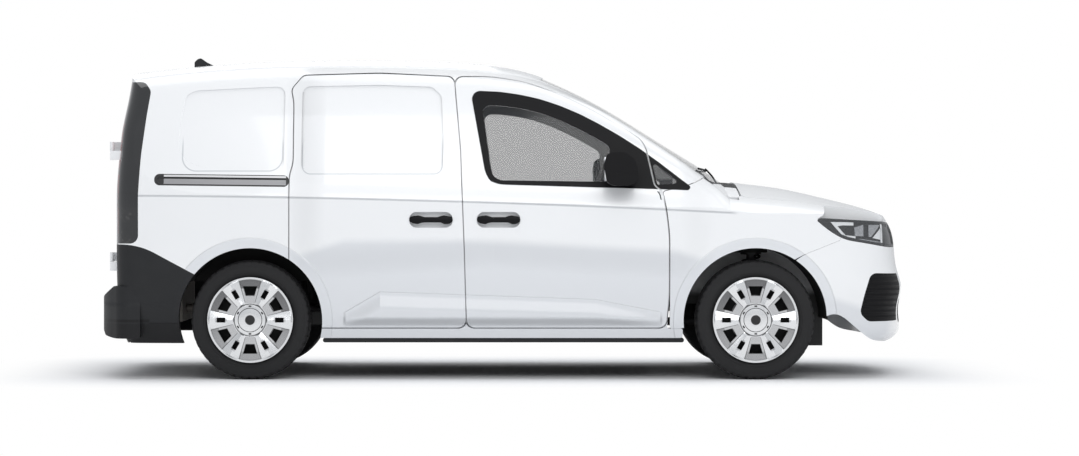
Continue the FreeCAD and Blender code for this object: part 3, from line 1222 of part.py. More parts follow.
SEAT_Y = 400.0
SEAT_WIDTH = 500.0
seat_shares = [(0.0950, 0.3550), (0.0980, 0.3300), (0.0870, 0.3020), (-0.0200, 0.2950),
               (-0.0480, 0.3400), (-0.0625, 0.6000), (-0.0600, 0.6600), (-0.0500, 0.6550),
               (-0.0400, 0.6000), (-0.0300, 0.3780), (0.0000, 0.3520), (0.0600, 0.3700)]
SEAT_RISER_WIDTH = 380.0
SEAT_RISER_LENGTH = 337.0
STAY_X = -261.0
STAY_THICKNESS = 18.0
STAY_WIDTH = 100.0
STAY_LOW_Z = 1107.0
STAY_TOP_Z = 1250.0
headrest_shares = [(-0.0640, 0.6720), (-0.0640, 0.7560), (-0.0500, 0.7560), (-0.0460, 0.6720)]


def make_seats():
    """Two seats: squab with backrest, head restraint and riser."""
    solids = []
    half = SEAT_WIDTH / 2
    for side in (1, -1):
        y = side * SEAT_Y
        seat = side_prism(side_view(seat_shares), y - half, y + half, OVERRUN)
        riser_z = seat_shares[3][1] * HEIGHT
        riser = box(0, SEAT_RISER_LENGTH, y - SEAT_RISER_WIDTH / 2, y + SEAT_RISER_WIDTH / 2,
                    floor_shares[2][1] * HEIGHT + SEAM, riser_z + SKIN * 2)
        rest = side_prism(side_view(headrest_shares), y - half / 2, y + half / 2, OVERRUN)
        stay = box(STAY_X, STAY_X + STAY_THICKNESS, y - STAY_WIDTH / 2, y + STAY_WIDTH / 2,
                   STAY_LOW_Z, STAY_TOP_Z)
        solids.append(largest(seat.fuse([riser, rest, stay])))
    return Part.makeCompound(solids)


STEERING_X = 500.0
STEERING_Z = 985.0
STEERING_RADIUS = 185.0
STEERING_GRIP = 16.0
GRIP_SIDES = 6
BOSS_RADIUS = 68.0
SPOKE_RADIUS = 11.0
STEERING_TILT = 25.0
COLUMN_RADIUS = 44.0
COLUMN_LENGTH = 240.0
SHAFT_RADIUS = 13.0
SHAFT_LENGTH = 90.0


def steering_axis():
    tilt = math.radians(STEERING_TILT)
    return V(math.cos(tilt), 0, -math.sin(tilt))


def make_steering_wheel():
    centre = V(STEERING_X, SEAT_Y, STEERING_Z)
    axis = steering_axis()
    up = V(-axis.z, 0, axis.x)
    corners = [centre + up * (STEERING_RADIUS + STEERING_GRIP * math.cos(a))
               + axis * (STEERING_GRIP * math.sin(a)) for a in
               [math.pi * (2 * i + 1) / GRIP_SIDES for i in range(GRIP_SIDES)]]
    rim = Part.Face(Part.makePolygon(corners + corners[:1])).revolve(centre, axis, 360)
    boss = Part.makeCylinder(BOSS_RADIUS, STEERING_GRIP * 2, centre, axis)
    spokes = [round_bar(centre + axis * STEERING_GRIP, centre + direction * STEERING_RADIUS, SPOKE_RADIUS)
              for direction in (V(0, 1, 0), V(0, -1, 0), up * -1)]
    shaft = round_bar(centre + axis * STEERING_GRIP, centre + axis * SHAFT_LENGTH, SHAFT_RADIUS)
    return largest(rim.fuse([boss, shaft] + spokes))


def make_engine():
    low_z = SUBFRAME_LOW_Z + SUBFRAME_HEIGHT + SEAM
    return box(ENGINE_X - ENGINE_LENGTH / 2, ENGINE_X + ENGINE_LENGTH / 2, -ENGINE_WIDTH / 2,
               ENGINE_WIDTH / 2, low_z, low_z + ENGINE_HEIGHT)


TANK_REAR_X = -900.0
TANK_LENGTH = 495.0
TANK_IN_Y = -92.0
TANK_OUT_Y = 553.0
TANK_LOW_Z = 268.0
SILENCER_REAR_X = -1980.0
SILENCER_LENGTH = 180.0
SILENCER_LOW_Z = 303.0
SKIRT_REAR_X = -999.0
SKIRT_FRONT_X = 976.0
SKIRT_LOW_Z = 201.0
SILL_SHARE = 0.1265


def make_underbody():
    """Fuel tank and silencer slung below the floor."""
    top = FLOOR_UNDER_Z - SEAM
    tank = box(TANK_REAR_X, TANK_REAR_X + TANK_LENGTH, TANK_IN_Y, TANK_OUT_Y, TANK_LOW_Z, top)
    silencer = box(SILENCER_REAR_X, SILENCER_REAR_X + SILENCER_LENGTH, -TANK_OUT_Y, -TANK_IN_Y,
                   SILENCER_LOW_Z, top)
    return Part.makeCompound([tank, silencer])


def make_side_skirt(hull):
    """The black skirt under each sill."""
    low_z, high_z = SKIRT_LOW_Z, SILL_SHARE * HEIGHT - SEAM
    points = [(SKIRT_REAR_X, low_z), (SKIRT_FRONT_X, low_z), (SKIRT_FRONT_X, high_z),
              (SKIRT_REAR_X, high_z)]
    skirt = hull_block(hull, points).cut(hollow(WALL, -LENGTH / 2, LENGTH / 2))
    return largest(skirt)


def make_rail(hull):
    rail = layer(hull_block(hull, side_view(rail_shares)), y=-RAIL_DEPTH + SEAM)
    points = grown(side_view(rail_shares), -RAIL_WALL * 3)
    return largest(rail.cut(layer(hull_block(hull, points), y=-RAIL_WALL)))


ANTENNA_X = -1790.0
ANTENNA_LENGTH = 150.0
ANTENNA_WIDTH = 44.0
antenna_shares = [(0.0, -0.30), (0.0, 0.60), (0.12, 0.92), (0.25, 1.0), (0.45, 0.62), (0.80, 0.18),
                  (1.0, 0.0), (1.0, -0.30)]
ANTENNA_HEIGHT = 58.0


def roof_height(x):
    """Height of the roof's centre line, between the stations."""
    for a, b in zip(roof_shares, roof_shares[1:]):
        if a[0] * LENGTH <= x <= b[0] * LENGTH:
            share = (x / LENGTH - a[0]) / (b[0] - a[0])
            return (a[1] + (b[1] - a[1]) * share) * HEIGHT
    return roof_shares[0][1] * HEIGHT


def make_antenna(roof):
    points = [(ANTENNA_X + a * ANTENNA_LENGTH, roof_height(ANTENNA_X) + z * ANTENNA_HEIGHT)
              for a, z in antenna_shares]
    fin = side_prism(points, -ANTENNA_WIDTH / 2, ANTENNA_WIDTH / 2, SKIN)
    return largest(fin.cut([roof, moved(roof, z=SEAM)]))


MIRROR_X = 625.0
MIRROR_Z = 1147.0
MIRROR_LENGTH = 172.0
MIRROR_HEIGHT = 184.0
MIRROR_OUT = 1050.0
MIRROR_IN = 900.0
mirror_shares = [(-0.45, -0.40), (-0.55, 0.10), (-0.45, 0.48), (0.10, 0.50), (0.42, 0.30), (0.55, -0.10),
                 (0.45, -0.46), (-0.20, -0.50)]
mirror_foot_shares = [(-0.15, -0.48), (0.50, -0.48), (0.42, -0.20), (-0.08, -0.20)]
MIRROR_FOOT_REACH = 50.0


def make_mirror(hull):
    """The mirror's housing on its foot, which stands on the door at the window's front corner."""
    points = [(MIRROR_X + a * MIRROR_LENGTH, MIRROR_Z + z * MIRROR_HEIGHT) for a, z in mirror_shares]
    shell = side_prism(points, MIRROR_IN, MIRROR_OUT, OVERRUN)
    foot = [(MIRROR_X + a * MIRROR_LENGTH, MIRROR_Z + z * MIRROR_HEIGHT) for a, z in mirror_foot_shares]
    arm = side_prism(foot, MIRROR_IN - WALL, MIRROR_IN + MIRROR_FOOT_REACH, SKIN)
    return largest(shell.fuse(arm).cut(moved(hull, y=TRIM_THICKNESS + SEAM)))


# Parts written to files, each under its node's name.
def save(name, shape):
    shape.exportStep(os.path.join("parts", name + ".step"))


def save_pair(name, left):
    save(name + "_left", left)
    save(name + "_right", mirrored(left))


def save_both(name, left):
    save(name, Part.makeCompound([left, mirrored(left)]))


def build():
    os.makedirs("parts", exist_ok=True)
    hull = make_hull()
    left = left_side(hull)
    side = make_body_side(left)
    save("body_side_right", mirrored(side))
    save("body_side_left", side.cut(fuel_pocket(left)))
    save("fuel_flap", make_fuel_flap(left))
    save_both("quarter_glass", make_quarter_glass(left))
    roof = make_roof(hull)
    save("roof_panel", roof)
    door = make_front_door(left)
    save_pair("front_door", door)
    glass = make_door_glass(left)
    save_pair("door_glass", glass)
    trim = window_trim(left)
    save_both("quarter_trims", make_quarter_trim(trim))
    outside = Part.makeCompound([make_mirror(left), make_handle(left, FRONT_HANDLE_X),
                                 make_door_trim(trim)])
    save_pair("mirror_handle", outside)
    save_both("sliding_doors", make_slide_door(left))
    save_both("slide_rails", make_rail(left))
    save_both("slide_handles", make_handle(left, SLIDE_HANDLE_X))
    save_both("wings", make_wing(left))
    save_both("side_skirts", make_side_skirt(left))
    save("bonnet", make_bonnet(hull))
    save("scuttle", make_scuttle(hull))
    save("windscreen", make_windscreen(hull))
    save("front_bumper", make_bumper(hull))
    save("grille", make_grille(hull))
    save_both("headlamps", make_headlamp(left))
    save_both("tail_lamps", make_tail_lamp(left))
    save("rear_bumper", make_rear_bumper(hull))
    save("rear_hinges", make_rear_hinges(hull))
    for hand, side in (("left", 1), ("right", -1)):
        save("rear_door_" + hand, make_rear_door(hull, side))
        save("rear_glass_" + hand, make_rear_glass(hull, side))
    save("floor_pan", make_floor())
    save("bulkhead", make_bulkhead())
    save("dashboard", make_dashboard())
    save("seats", make_seats())
    save("steering_wheel", make_steering_wheel())
    save("engine_block", make_engine())
    save("engine_bay", make_engine_bay(hull))
    save("cowl", make_cowl(hull))
    save("radiator", make_radiator())
    save("front_subframe", make_subframe())
    save("struts", Part.makeCompound([make_strut(1), make_strut(-1)]))
    save("rear_axle", make_rear_axle())
    save("underbody", make_underbody())
    save("antenna", make_antenna(roof))
    for end, hand, side, x in wheel_places():
        save("wheel_" + end + "_" + hand, make_wheel(x, side * WHEEL_Y, side))
        save("tyre_" + end + "_" + hand, make_tyre(x, side * WHEEL_Y, side))
    for hand, side in (("left", 1), ("right", -1)):
        save("knuckle_" + hand, make_knuckle(side))


build()
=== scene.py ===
import math

import bpy
from mathutils import Matrix, Vector
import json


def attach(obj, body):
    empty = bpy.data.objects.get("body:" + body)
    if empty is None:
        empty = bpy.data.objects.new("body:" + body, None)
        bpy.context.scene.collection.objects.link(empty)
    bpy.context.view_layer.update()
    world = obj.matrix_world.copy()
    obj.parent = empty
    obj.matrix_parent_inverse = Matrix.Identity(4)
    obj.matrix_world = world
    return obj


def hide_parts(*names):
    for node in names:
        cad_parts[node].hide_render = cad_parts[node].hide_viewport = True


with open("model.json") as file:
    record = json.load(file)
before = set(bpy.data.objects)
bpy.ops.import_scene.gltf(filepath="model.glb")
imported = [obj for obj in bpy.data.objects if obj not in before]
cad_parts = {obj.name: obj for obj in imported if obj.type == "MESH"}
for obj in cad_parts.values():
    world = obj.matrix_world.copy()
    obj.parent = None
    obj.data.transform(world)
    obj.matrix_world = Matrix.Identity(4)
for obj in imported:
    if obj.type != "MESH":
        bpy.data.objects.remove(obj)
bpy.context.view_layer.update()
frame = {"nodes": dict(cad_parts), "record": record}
nodes = frame["nodes"]
bodies = frame["record"]["behaviour"]["bodies"]
body_of_node = {node: body for body, held in bodies.items() for node in held}


# The picture is taken from the van's right with a long lens, from 16.45 m out and 0.94 m up.
# The camera is level, and the small shifts put its axis where the photograph has it.
CAMERA_PLACE = (-0.014, -16.45, 0.944)
CAMERA_LENS = 95.2
IMAGE_WIDTH, IMAGE_HEIGHT = 1079.0, 456.0
AXIS_PX, AXIS_PY = 503.0, 206.6
METRES_A_PIXEL = 0.00545

bpy.ops.object.camera_add(location=CAMERA_PLACE, rotation=(math.pi / 2, 0.0, 0.0))
camera = bpy.context.object
camera.name = "camera"
camera.data.sensor_width = 36.0
camera.data.lens = CAMERA_LENS
camera.data.shift_x = (IMAGE_WIDTH / 2 - AXIS_PX) / IMAGE_WIDTH
camera.data.shift_y = (AXIS_PY - IMAGE_HEIGHT / 2) / IMAGE_WIDTH
camera.data.clip_end = 200.0
bpy.context.scene.camera = camera
bpy.context.scene.view_settings.view_transform = "Standard"


# A seamless white studio: one pale floor, a white surround and three large soft boxes.
# The floor is matt where the van's shadow falls and plain white farther out.
# Its materials, and all the van's, are written as sums of shader nodes.
class Shade:
    """A socket in a node tree. Sums with it and products of it add Math nodes."""

    def __init__(self, tree, socket=None):
        self.tree = tree
        self.socket = socket

    def node(self, kind, settings=None, values=None, output=0):
        made = self.tree.nodes.new("ShaderNode" + kind)
        for name, value in (settings or {}).items():
            setattr(made, name, value)
        for name, value in (values or {}).items():
            if isinstance(value, Shade):
                self.tree.links.new(value.socket, made.inputs[name])
            elif made.inputs[name].type == "RGBA":
                made.inputs[name].default_value = (*value, 1.0)
            else:
                made.inputs[name].default_value = value
        return Shade(self.tree, made.outputs[output])

    def maths(self, operation, first, second=0.0):
        return self.node("Math", {"operation": operation}, {0: first, 1: second})

    def __add__(self, other):
        return self.maths("ADD", self, other)

    __radd__ = __add__

    def __sub__(self, other):
        return self.maths("SUBTRACT", self, other)

    def __rsub__(self, other):
        return self.maths("SUBTRACT", other, self)

    def __mul__(self, other):
        return self.maths("MULTIPLY", self, other)

    __rmul__ = __mul__

    def __truediv__(self, other):
        return self.maths("DIVIDE", self, other)

    def __abs__(self):
        return self.maths("ABSOLUTE", self)

    def __gt__(self, other):
        return self.maths("GREATER_THAN", self, other)

    def __lt__(self, other):
        return self.maths("LESS_THAN", self, other)

    def least(self, other):
        return self.maths("MINIMUM", self, other)

    def most(self, other):
        return self.maths("MAXIMUM", self, other)

    def rise(self, low, high):
        """A soft step of this value: 0 below low, 1 above high."""
        return self.node("MapRange", {"interpolation_type": "SMOOTHSTEP"},
                         {"Value": self, "From Min": low, "From Max": high})

    def between(self, low, high, soft):
        """A soft band of this value: 1 from low to high."""
        return self.rise(low - soft, low) * (1.0 - self.rise(high, high + soft))

    def mix(self, first, second):
        """A colour between two, with this value as the share of the second."""
        return self.node("Mix", {"data_type": "RGBA"}, {"Factor": self, "A": first, "B": second},
                         output=2)

    def hypot(self, other):
        """How long a line is that runs by this value and falls by the other."""
        return self.maths("SQRT", self * self + other * other)

    def wave(self):
        """The sine of this value, in radians."""
        return self.maths("SINE", self)

    def parts(self):
        """The X, Y and Z of this vector."""
        return [self.node("SeparateXYZ", values={0: self}, output=i) for i in range(3)]

    def of_rays(self, *kinds):
        """1 for rays of these kinds, and 0 for others."""
        shares = [self.node("LightPath", output=f"Is {kind} Ray") for kind in kinds]
        return sum(shares[1:], shares[0]).least(1.0)

    def noise(self, scale, detail):
        return self.node("TexNoise", values={"Vector": self, "Scale": scale, "Detail": detail})

    def cells(self, scale, feature="F1"):
        return self.node("TexVoronoi", {"feature": feature}, {"Vector": self, "Scale": scale})


def new_material(name):
    """An empty material, and the place on the object as the first value in its node tree."""
    material = bpy.data.materials.new(name)
    material.use_nodes = True
    material.node_tree.nodes.clear()
    return material, Shade(material.node_tree).node("TexCoord", output="Object")


def close_tree(surface, kind="Material"):
    """Links a finished surface to the output of its node tree."""
    output = surface.tree.nodes.new("ShaderNodeOutput" + kind)
    surface.tree.links.new(surface.socket, output.inputs["Surface"])


SURFACE_INPUTS = {"metallic": "Metallic", "alpha": "Alpha", "specular": "Specular IOR Level",
                  "coat": "Coat Weight", "coat_roughness": "Coat Roughness", "sheen": "Sheen Weight"}


def close_solid(tone, roughness, height=None, **others):
    """Ends a material with a Principled surface. The height is its relief, in metres."""
    values = {SURFACE_INPUTS[name]: value for name, value in others.items()}
    values.update({"Base Color": tone, "Roughness": roughness})
    if height is not None:
        values["Normal"] = tone.node("Bump", values={"Height": height, "Strength": 1.0,
                                                     "Distance": 1.0})
    close_tree(tone.node("BsdfPrincipled", values=values))


FLOOR_COLOUR = (0.90, 0.905, 0.915)
FLOOR_SIZE = 90.0
SHADOW_ZONE = (2.10, 0.85)
SHADOW_FADE = (0.10, 0.95)
DOME_STRENGTH = 0.58
BOX_ASPECT = 0.6

bpy.ops.mesh.primitive_plane_add(size=FLOOR_SIZE, location=(0.0, 0.0, 0.0))
floor = bpy.context.object
floor.name = "floor"
floor_material, place = new_material("studio floor")
x, y, z = place.parts()
past_x = (abs(x) - SHADOW_ZONE[0]).most(0.0)
past_y = (abs(y) - SHADOW_ZONE[1]).most(0.0)
far = past_x.hypot(past_y).rise(*SHADOW_FADE)
seen = place.of_rays("Camera", "Glossy", "Transmission")
matt = place.node("BsdfDiffuse", values={"Color": FLOOR_COLOUR})
plain = place.node("Emission", values={"Color": (1.0, 1.0, 1.0), "Strength": 1.0})
close_tree(place.node("MixShader", values={0: far * seen, 1: matt, 2: plain}))
floor.data.materials.append(floor_material)

world = bpy.context.scene.world or bpy.data.worlds.new("studio")
bpy.context.scene.world = world
world.use_nodes = True
world.node_tree.nodes.clear()
shade = Shade(world.node_tree)
seen = shade.of_rays("Camera", "Transmission")
dome = shade.node("Background", values={"Color": (0.95, 0.97, 1.0), "Strength": DOME_STRENGTH})
backdrop = shade.node("Background", values={"Color": (1.0, 1.0, 1.0), "Strength": 1.0})
close_tree(shade.node("MixShader", values={0: seen, 1: dome, 2: backdrop}), "World")

SOFT_BOXES = [((0.0, 0.0, 8.5), (0.0, 0.0, 0.0), 12.0, 360.0),
              ((1.5, -9.0, 5.5), (0.0, 0.0, 0.8), 7.0, 315.0),
              ((-3.0, 10.0, 6.0), (0.0, 0.0, 0.8), 7.0, 260.0)]
for at, aim, size, power in SOFT_BOXES:
    turn = (Vector(aim) - Vector(at)).to_track_quat("-Z", "Y").to_euler()
    bpy.ops.object.light_add(type="AREA", location=at, rotation=turn)
    lamp = bpy.context.object.data
    lamp.shape = "RECTANGLE"
    lamp.size = size
    lamp.size_y = size * BOX_ASPECT
    lamp.energy = power


# The painted shell: pressed steel panels in solid white under clear lacquer, flush but for their seams.
# The panels are the frame's own shapes. The waist crease, the hollow low in the doors and the flared
# arches are pressed into the sides by the paint's relief.
def dressed(material, *names):
    """Gives frame nodes their material, in every slot they have."""
    for name in names:
        piece = nodes[name]
        if not piece.material_slots:
            piece.data.materials.append(material)
        for held in piece.material_slots:
            held.material = material


SIDES = (("left", 1.0), ("right", -1.0))
PAINT_WHITE = (0.850, 0.860, 0.872)
PAINTED_FLOOR_REFLECTION = (0.700, 0.718, 0.745)
PAINTED_FLARE_SHADE = (0.700, 0.720, 0.748)
PAINTED_CREASE_SHADE = (0.560, 0.580, 0.610)
PAINTED_EDGE_SHADOW = (0.480, 0.500, 0.530)
PAINT_DUST = (0.62, 0.60, 0.57)
PAINTED_GAP_SHADE = (0.020, 0.020, 0.021)
LINER_BLACK = (0.003, 0.003, 0.003)
NEAR_BLACK = (0.006, 0.006, 0.007)
CAB_TRIM = (0.035, 0.036, 0.039)
HEADLINING = (0.42, 0.42, 0.41)
AXLES_X = (1.363, -1.392)
AXLE_Z = 0.326
ARCH_LINER_RADIUS = 0.407
LINER_DEPTH_Y = 0.893
BULKHEAD_X = -0.31
WAIST_Z, WAIST_SLOPE, WAIST_BEND = 0.96987, -0.03422, -0.00706
WAIST_RUN = (-2.02, 1.22)
CREASE_DEPTH = 0.0085
TUCK_DEPTH = 0.048
HOLLOW_STEP, HOLLOW_DEPTH = 0.0060, 0.034
FLARE_STEP, FLARE_LEAN = 0.0055, 0.006
PEEL_DEPTH = 0.000012
# Middle, half width, foot and corner radius of each pressed panel in the side.
PRESSED_PANELS = ((-0.728, 0.382, 1.122, 0.045), (-1.491, 0.273, 1.138, 0.075))


def arch_distance(x, z):
    """How far a place is from the nearer axle's centre, seen from the side."""
    front, rear = [(x - axle_x).hypot(z - AXLE_Z) for axle_x in AXLES_X]
    return front.least(rear)


white_paint, place = new_material("white paint")
x, y, z = place.parts()
facing_x, facing_y, facing_z = place.node("NewGeometry", output="Normal").parts()
outward = facing_y * place.maths("SIGN", y)
on_side = abs(y).rise(0.66, 0.74)
from_axle = arch_distance(x, z)

# Waist crease: a thin step under a band that leans back, from the tail to the bonnet.
waist = z - (WAIST_Z + WAIST_SLOPE * x + WAIST_BEND * x * x)
along_waist = x.between(*WAIST_RUN, 0.06)
crease = waist.rise(-0.013, 0.001) - waist.rise(0.001, 0.085)
crease = crease * along_waist * CREASE_DEPTH
# Below the waist the doors tuck in, between the two arches.
tuck = (z + abs(x + 0.06) * 0.055).rise(0.60, 0.80)
tuck = tuck * x.between(-0.98, 0.93, 0.22) * TUCK_DEPTH
# The hollow low in the doors: a sharp upper edge, pointed at both ends.
left_ramp = 0.369 + (x + 0.875) * 0.586
long_edge = 0.457 - x * 0.035
right_ramp = 0.440 - (x - 0.487) * 0.1945
edge = left_ramp.least(long_edge).least(right_ramp)
below = edge - z
hollow_band = below.rise(-0.004, 0.006) * HOLLOW_STEP + below.rise(0.0, 0.105) * HOLLOW_DEPTH
hollow_band = hollow_band * x.between(-0.87, 0.84, 0.02) * z.rise(0.285, 0.345)
# Arch flares: a low lip round each wheel opening, a little in the shade of its own edge.
flare = 1.0 - from_axle.rise(0.442, 0.452)
flare_lean = (1.0 - from_axle.rise(0.392, 0.446)) * flare * FLARE_LEAN
pressed_form = (crease + tuck + hollow_band + flare * FLARE_STEP - flare_lean) * on_side
relief = pressed_form + place.noise(240.0, 2.0) * PEEL_DEPTH

dust = place.node("TexNoise", values={"Vector": place, "Scale": 3.0, "Detail": 6.0, "Roughness": 0.6})
low_dust = (1.0 - z.rise(0.20, 0.75)) * dust.rise(0.45, 0.85) * 0.10
paint_tone = low_dust.mix(PAINT_WHITE, PAINT_DUST)
# The doors lean in below a soft line between the arches and so would mirror the darker floor.
# Painted reflection: below that line their colour is darkened to stand for it.
lean_line = (0.697 + (x + 1.110) * 0.332).least(0.773 - (x + 0.221).most(0.0) * 0.050)
lean_line = lean_line.least(0.729 - (x - 0.880) * 0.300)
painted_low_reflection = (lean_line - z).rise(-0.015, 0.045) * (1.0 - z.rise(0.90, 0.95)) * on_side
paint_tone = painted_low_reflection.mix(paint_tone, PAINTED_FLOOR_REFLECTION)
# Feet of the two pressed panels: a fine painted shadow along the edge, with rounded corners.
pressed_edge_shadow = 0.0
for panel_x, half_width, foot_z, corner in PRESSED_PANELS:
    run = (abs(x - panel_x) - (half_width - corner)).most(0.0)
    fall = (foot_z + corner - z).most(0.0)
    off_edge = abs(run.hypot(fall) - corner)
    pressed_edge_shadow = (1.0 - off_edge.rise(0.0015, 0.0050)) * (1.0 - z.rise(1.26, 1.34)) + pressed_edge_shadow
paint_tone = (pressed_edge_shadow * on_side * 0.75).mix(paint_tone, PAINTED_EDGE_SHADOW)
# Painted shade: a thin darker line just under the waist crease.
crease_shade_line = waist.between(-0.0125, -0.0035, 0.003) * along_waist * on_side
paint_tone = (crease_shade_line * 0.5).mix(paint_tone, PAINTED_CREASE_SHADE)
# Painted shade: the arch flares are also painted a little darker.
paint_tone = (flare * on_side * 0.8).mix(paint_tone, PAINTED_FLARE_SHADE)
in_cab = x.between(BULKHEAD_X, 1.01, 0.004) * (1.0 - outward.rise(-0.35, -0.15)) * (abs(y) > 0.5)
overhead = (1.0 - facing_z.rise(-0.6, -0.4)) * (z > 1.35)
lining = z.rise(1.10, 1.12).mix(CAB_TRIM, HEADLINING)
tone = in_cab.most(overhead * (x > BULKHEAD_X)).mix(paint_tone, lining)
outer_skin = outward.rise(0.3, 0.5) * (abs(y) > 0.80)
in_arch = (from_axle < ARCH_LINER_RADIUS) * (abs(y) < LINER_DEPTH_Y) * (1.0 - outer_skin)
# Painted shade: faces across the seams between the side panels are painted near black.
in_gap = (abs(facing_x) > 0.93) * x.between(-1.30, 1.10, 0.01) * (abs(y) > 0.70) * (z < 1.60)
tone = in_gap.mix(tone, PAINTED_GAP_SHADE)
tone = in_arch.mix(tone, LINER_BLACK)
dull = in_cab.most(in_arch)
close_solid(tone, 0.19 + dull * 0.6, relief, coat=(1.0 - dull) * 0.4, coat_roughness=0.04)

dressed(white_paint, "body_side_left", "body_side_right", "front_door_left", "front_door_right",
        "sliding_doors", "wings", "bonnet", "front_bumper", "rear_door_left", "rear_door_right",
        "roof_panel", "fuel_flap", "rear_hinges")


# Unpainted mouldings: grained black plastic for the rear bumper, skirts, mirrors, handles and scuttle.
# The grain is a fine leather-like stipple, and the sheen is low, with faint flow marks.
def plastic_material(name, dark, light, roughness, form=None, gloss=0.30):
    """A grained plastic, with the relief, in metres, and the dark joints and painted shade that form
    gives for a place.
    """
    material, place = new_material(name)
    x, y, z = place.parts()
    grain = place.cells(900.0)
    flow = place.noise(9.0, 4.0)
    height = grain * 0.00010
    tone = flow.mix(dark, light)
    if form:
        relief, joints_and_painted_shade = form(x, y, z)
        height = height + relief
        tone = joints_and_painted_shade.mix(tone, NEAR_BLACK)
    close_solid(tone, roughness + flow * 0.12, height, specular=gloss)
    return material


def bumper_form(x, y, z):
    """A deep groove round the rear bumper's foot, painted as shade only, a low band of painted shade
    and a soft step above it.
    """
    groove = z.between(0.3130, 0.3270, 0.002) * (1.0 - x.rise(-1.950, -1.940))
    joint = z.between(0.3060, 0.3095, 0.001) * x.rise(-1.950, -1.940)
    low_band_shade = (1.0 - z.rise(0.300, 0.312)) * 0.75
    return z.rise(0.395, 0.425) * -0.004 - joint * 0.002, groove.most(joint * 0.8).most(low_band_shade)


def mirror_form(x, y, z):
    """The joint line round the mirror's shell and the sail panel's upright joint."""
    line = z.between(1.1255, 1.1290, 0.0006) * x.between(0.600, 0.735, 0.004) * (abs(y) > 0.96)
    sail = (x - (0.7700 + (1.2120 - z) * 0.2330)).between(-0.0020, 0.0020, 0.0006)
    sail = sail * z.between(1.055, 1.215, 0.002) * (abs(y) < 0.93)
    return line * -0.002, (line + sail).least(1.0)


def grille_form(x, y, z):
    """Cells in the lower grille and blades in the side intakes, with painted shade in the holes and
    between the blades.
    """
    cells = (y * 260.0).wave() * (z * 300.0).wave()
    middle = (1.0 - abs(y).rise(0.545, 0.550)) * z.between(0.315, 0.415, 0.002)
    blades = ((z + x * 0.03) * 210.0).wave()
    side = abs(y).rise(0.60, 0.61) * z.between(0.335, 0.565, 0.004)
    hole = cells.rise(0.05, 0.25) * middle
    return hole * -0.012 + blades * side * 0.004, hole.most(side * (1.0 - blades.rise(-0.95, -0.35)))


BLACK_TONES = ((0.011, 0.012, 0.014), (0.019, 0.020, 0.022))
black_plastic = plastic_material("black plastic", *BLACK_TONES, 0.42)
rear_plastic = plastic_material("rear bumper plastic", *BLACK_TONES, 0.46, bumper_form)
mirror_plastic = plastic_material("mirror plastic", (0.002, 0.002, 0.003), (0.005, 0.005, 0.006), 0.44,
                                  mirror_form, 0.18)
grille_plastic = plastic_material("grille plastic", (0.002, 0.002, 0.003), NEAR_BLACK, 0.50,
                                  grille_form, 0.18)

# Scuttle: a black louvred moulding clipped along the windscreen's foot.
# Its two outer ends are moulded in body white.
scuttle_finish, place = new_material("scuttle finish")
x, y, z = place.parts()
grain = place.cells(900.0)
louvres = (y * 520.0).wave() * (abs(y) < 0.58)
white_end = abs(y).rise(0.44, 0.46) * (1.0 - z.rise(1.066, 1.072)) * x.rise(1.13, 1.15)
tone = white_end.mix(grain.mix(NEAR_BLACK, (0.014, 0.014, 0.015)), PAINT_WHITE)
close_solid(tone, 0.45 - white_end * 0.2, grain * 0.0001 + louvres * 0.0010, specular=0.30)
dressed(rear_plastic, "rear_bumper")
dressed(black_plastic, "side_skirts", "slide_handles", "antenna")
dressed(mirror_plastic, "mirror_handle_left", "mirror_handle_right", "quarter_trims")
dressed(grille_plastic, "grille")
dressed(scuttle_finish, "scuttle")


# Glass: tinted laminated windscreen and tempered side panes, set just behind the skin.
# The tint is light, so the far side of the studio shows through the cab.
window_glass, place = new_material("tinted glass")
ripple = place.noise(2.2, 1.0)
close_solid(ripple.mix((0.040, 0.044, 0.050), (0.044, 0.048, 0.054)), 0.02 + ripple * 0.01, alpha=0.23,
            specular=0.4)
dressed(window_glass, "windscreen", "door_glass_left", "door_glass_right", "quarter_glass",
        "rear_glass_left", "rear_glass_right")


# Tyres: black rubber on 16-inch rims, moulded with a ribbed sidewall and a tread of four grooves.
# Each is spun from its section, and gaps are sunk into the tread to part its blocks.
def only(piece):
    """Makes a piece the one that is selected and active."""
    bpy.ops.object.select_all(action="DESELECT")
    piece.select_set(True)
    bpy.context.view_layer.objects.active = piece


def finish(piece, name, material, body="body", angle=30.0):
    """Names a finished piece, puts its place into its mesh, gives it its material and ties it to its
    body.
    """
    only(piece)
    bpy.ops.object.transform_apply()
    bpy.ops.object.shade_smooth_by_angle(angle=math.radians(angle))
    piece.name = name
    piece.data.materials.clear()
    piece.data.materials.append(material)
    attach(piece, body)
    return piece


def edit_all():
    """Opens the active piece for editing, with all of it selected."""
    bpy.ops.object.mode_set(mode="EDIT")
    bpy.ops.mesh.select_all(action="SELECT")


def spun(section, steps):
    """A closed section (across, radius) spun round the Y axis through the origin."""
    bpy.ops.mesh.primitive_circle_add(vertices=len(section), radius=1.0)
    piece = bpy.context.object
    for vertex, (across, radius) in zip(piece.data.vertices, section):
        vertex.co = (0.0, across, radius)
    edit_all()
    bpy.ops.mesh.spin(steps=steps, angle=math.tau, center=(0.0, 0.0, 0.0), axis=(0.0, 1.0, 0.0))
    bpy.ops.mesh.select_all(action="SELECT")
    bpy.ops.mesh.remove_doubles(threshold=0.00002)
    bpy.ops.mesh.normals_make_consistent(inside=False)
    bpy.ops.object.mode_set(mode="OBJECT")
    return piece


def copied(piece, shift, turned=0.0):
    """A copy of a piece with its own mesh, turned about Z and moved."""
    twin = piece.copy()
    twin.data = piece.data.copy()
    bpy.context.collection.objects.link(twin)
    twin.rotation_euler = (0.0, 0.0, turned)
    twin.location = shift
    return twin


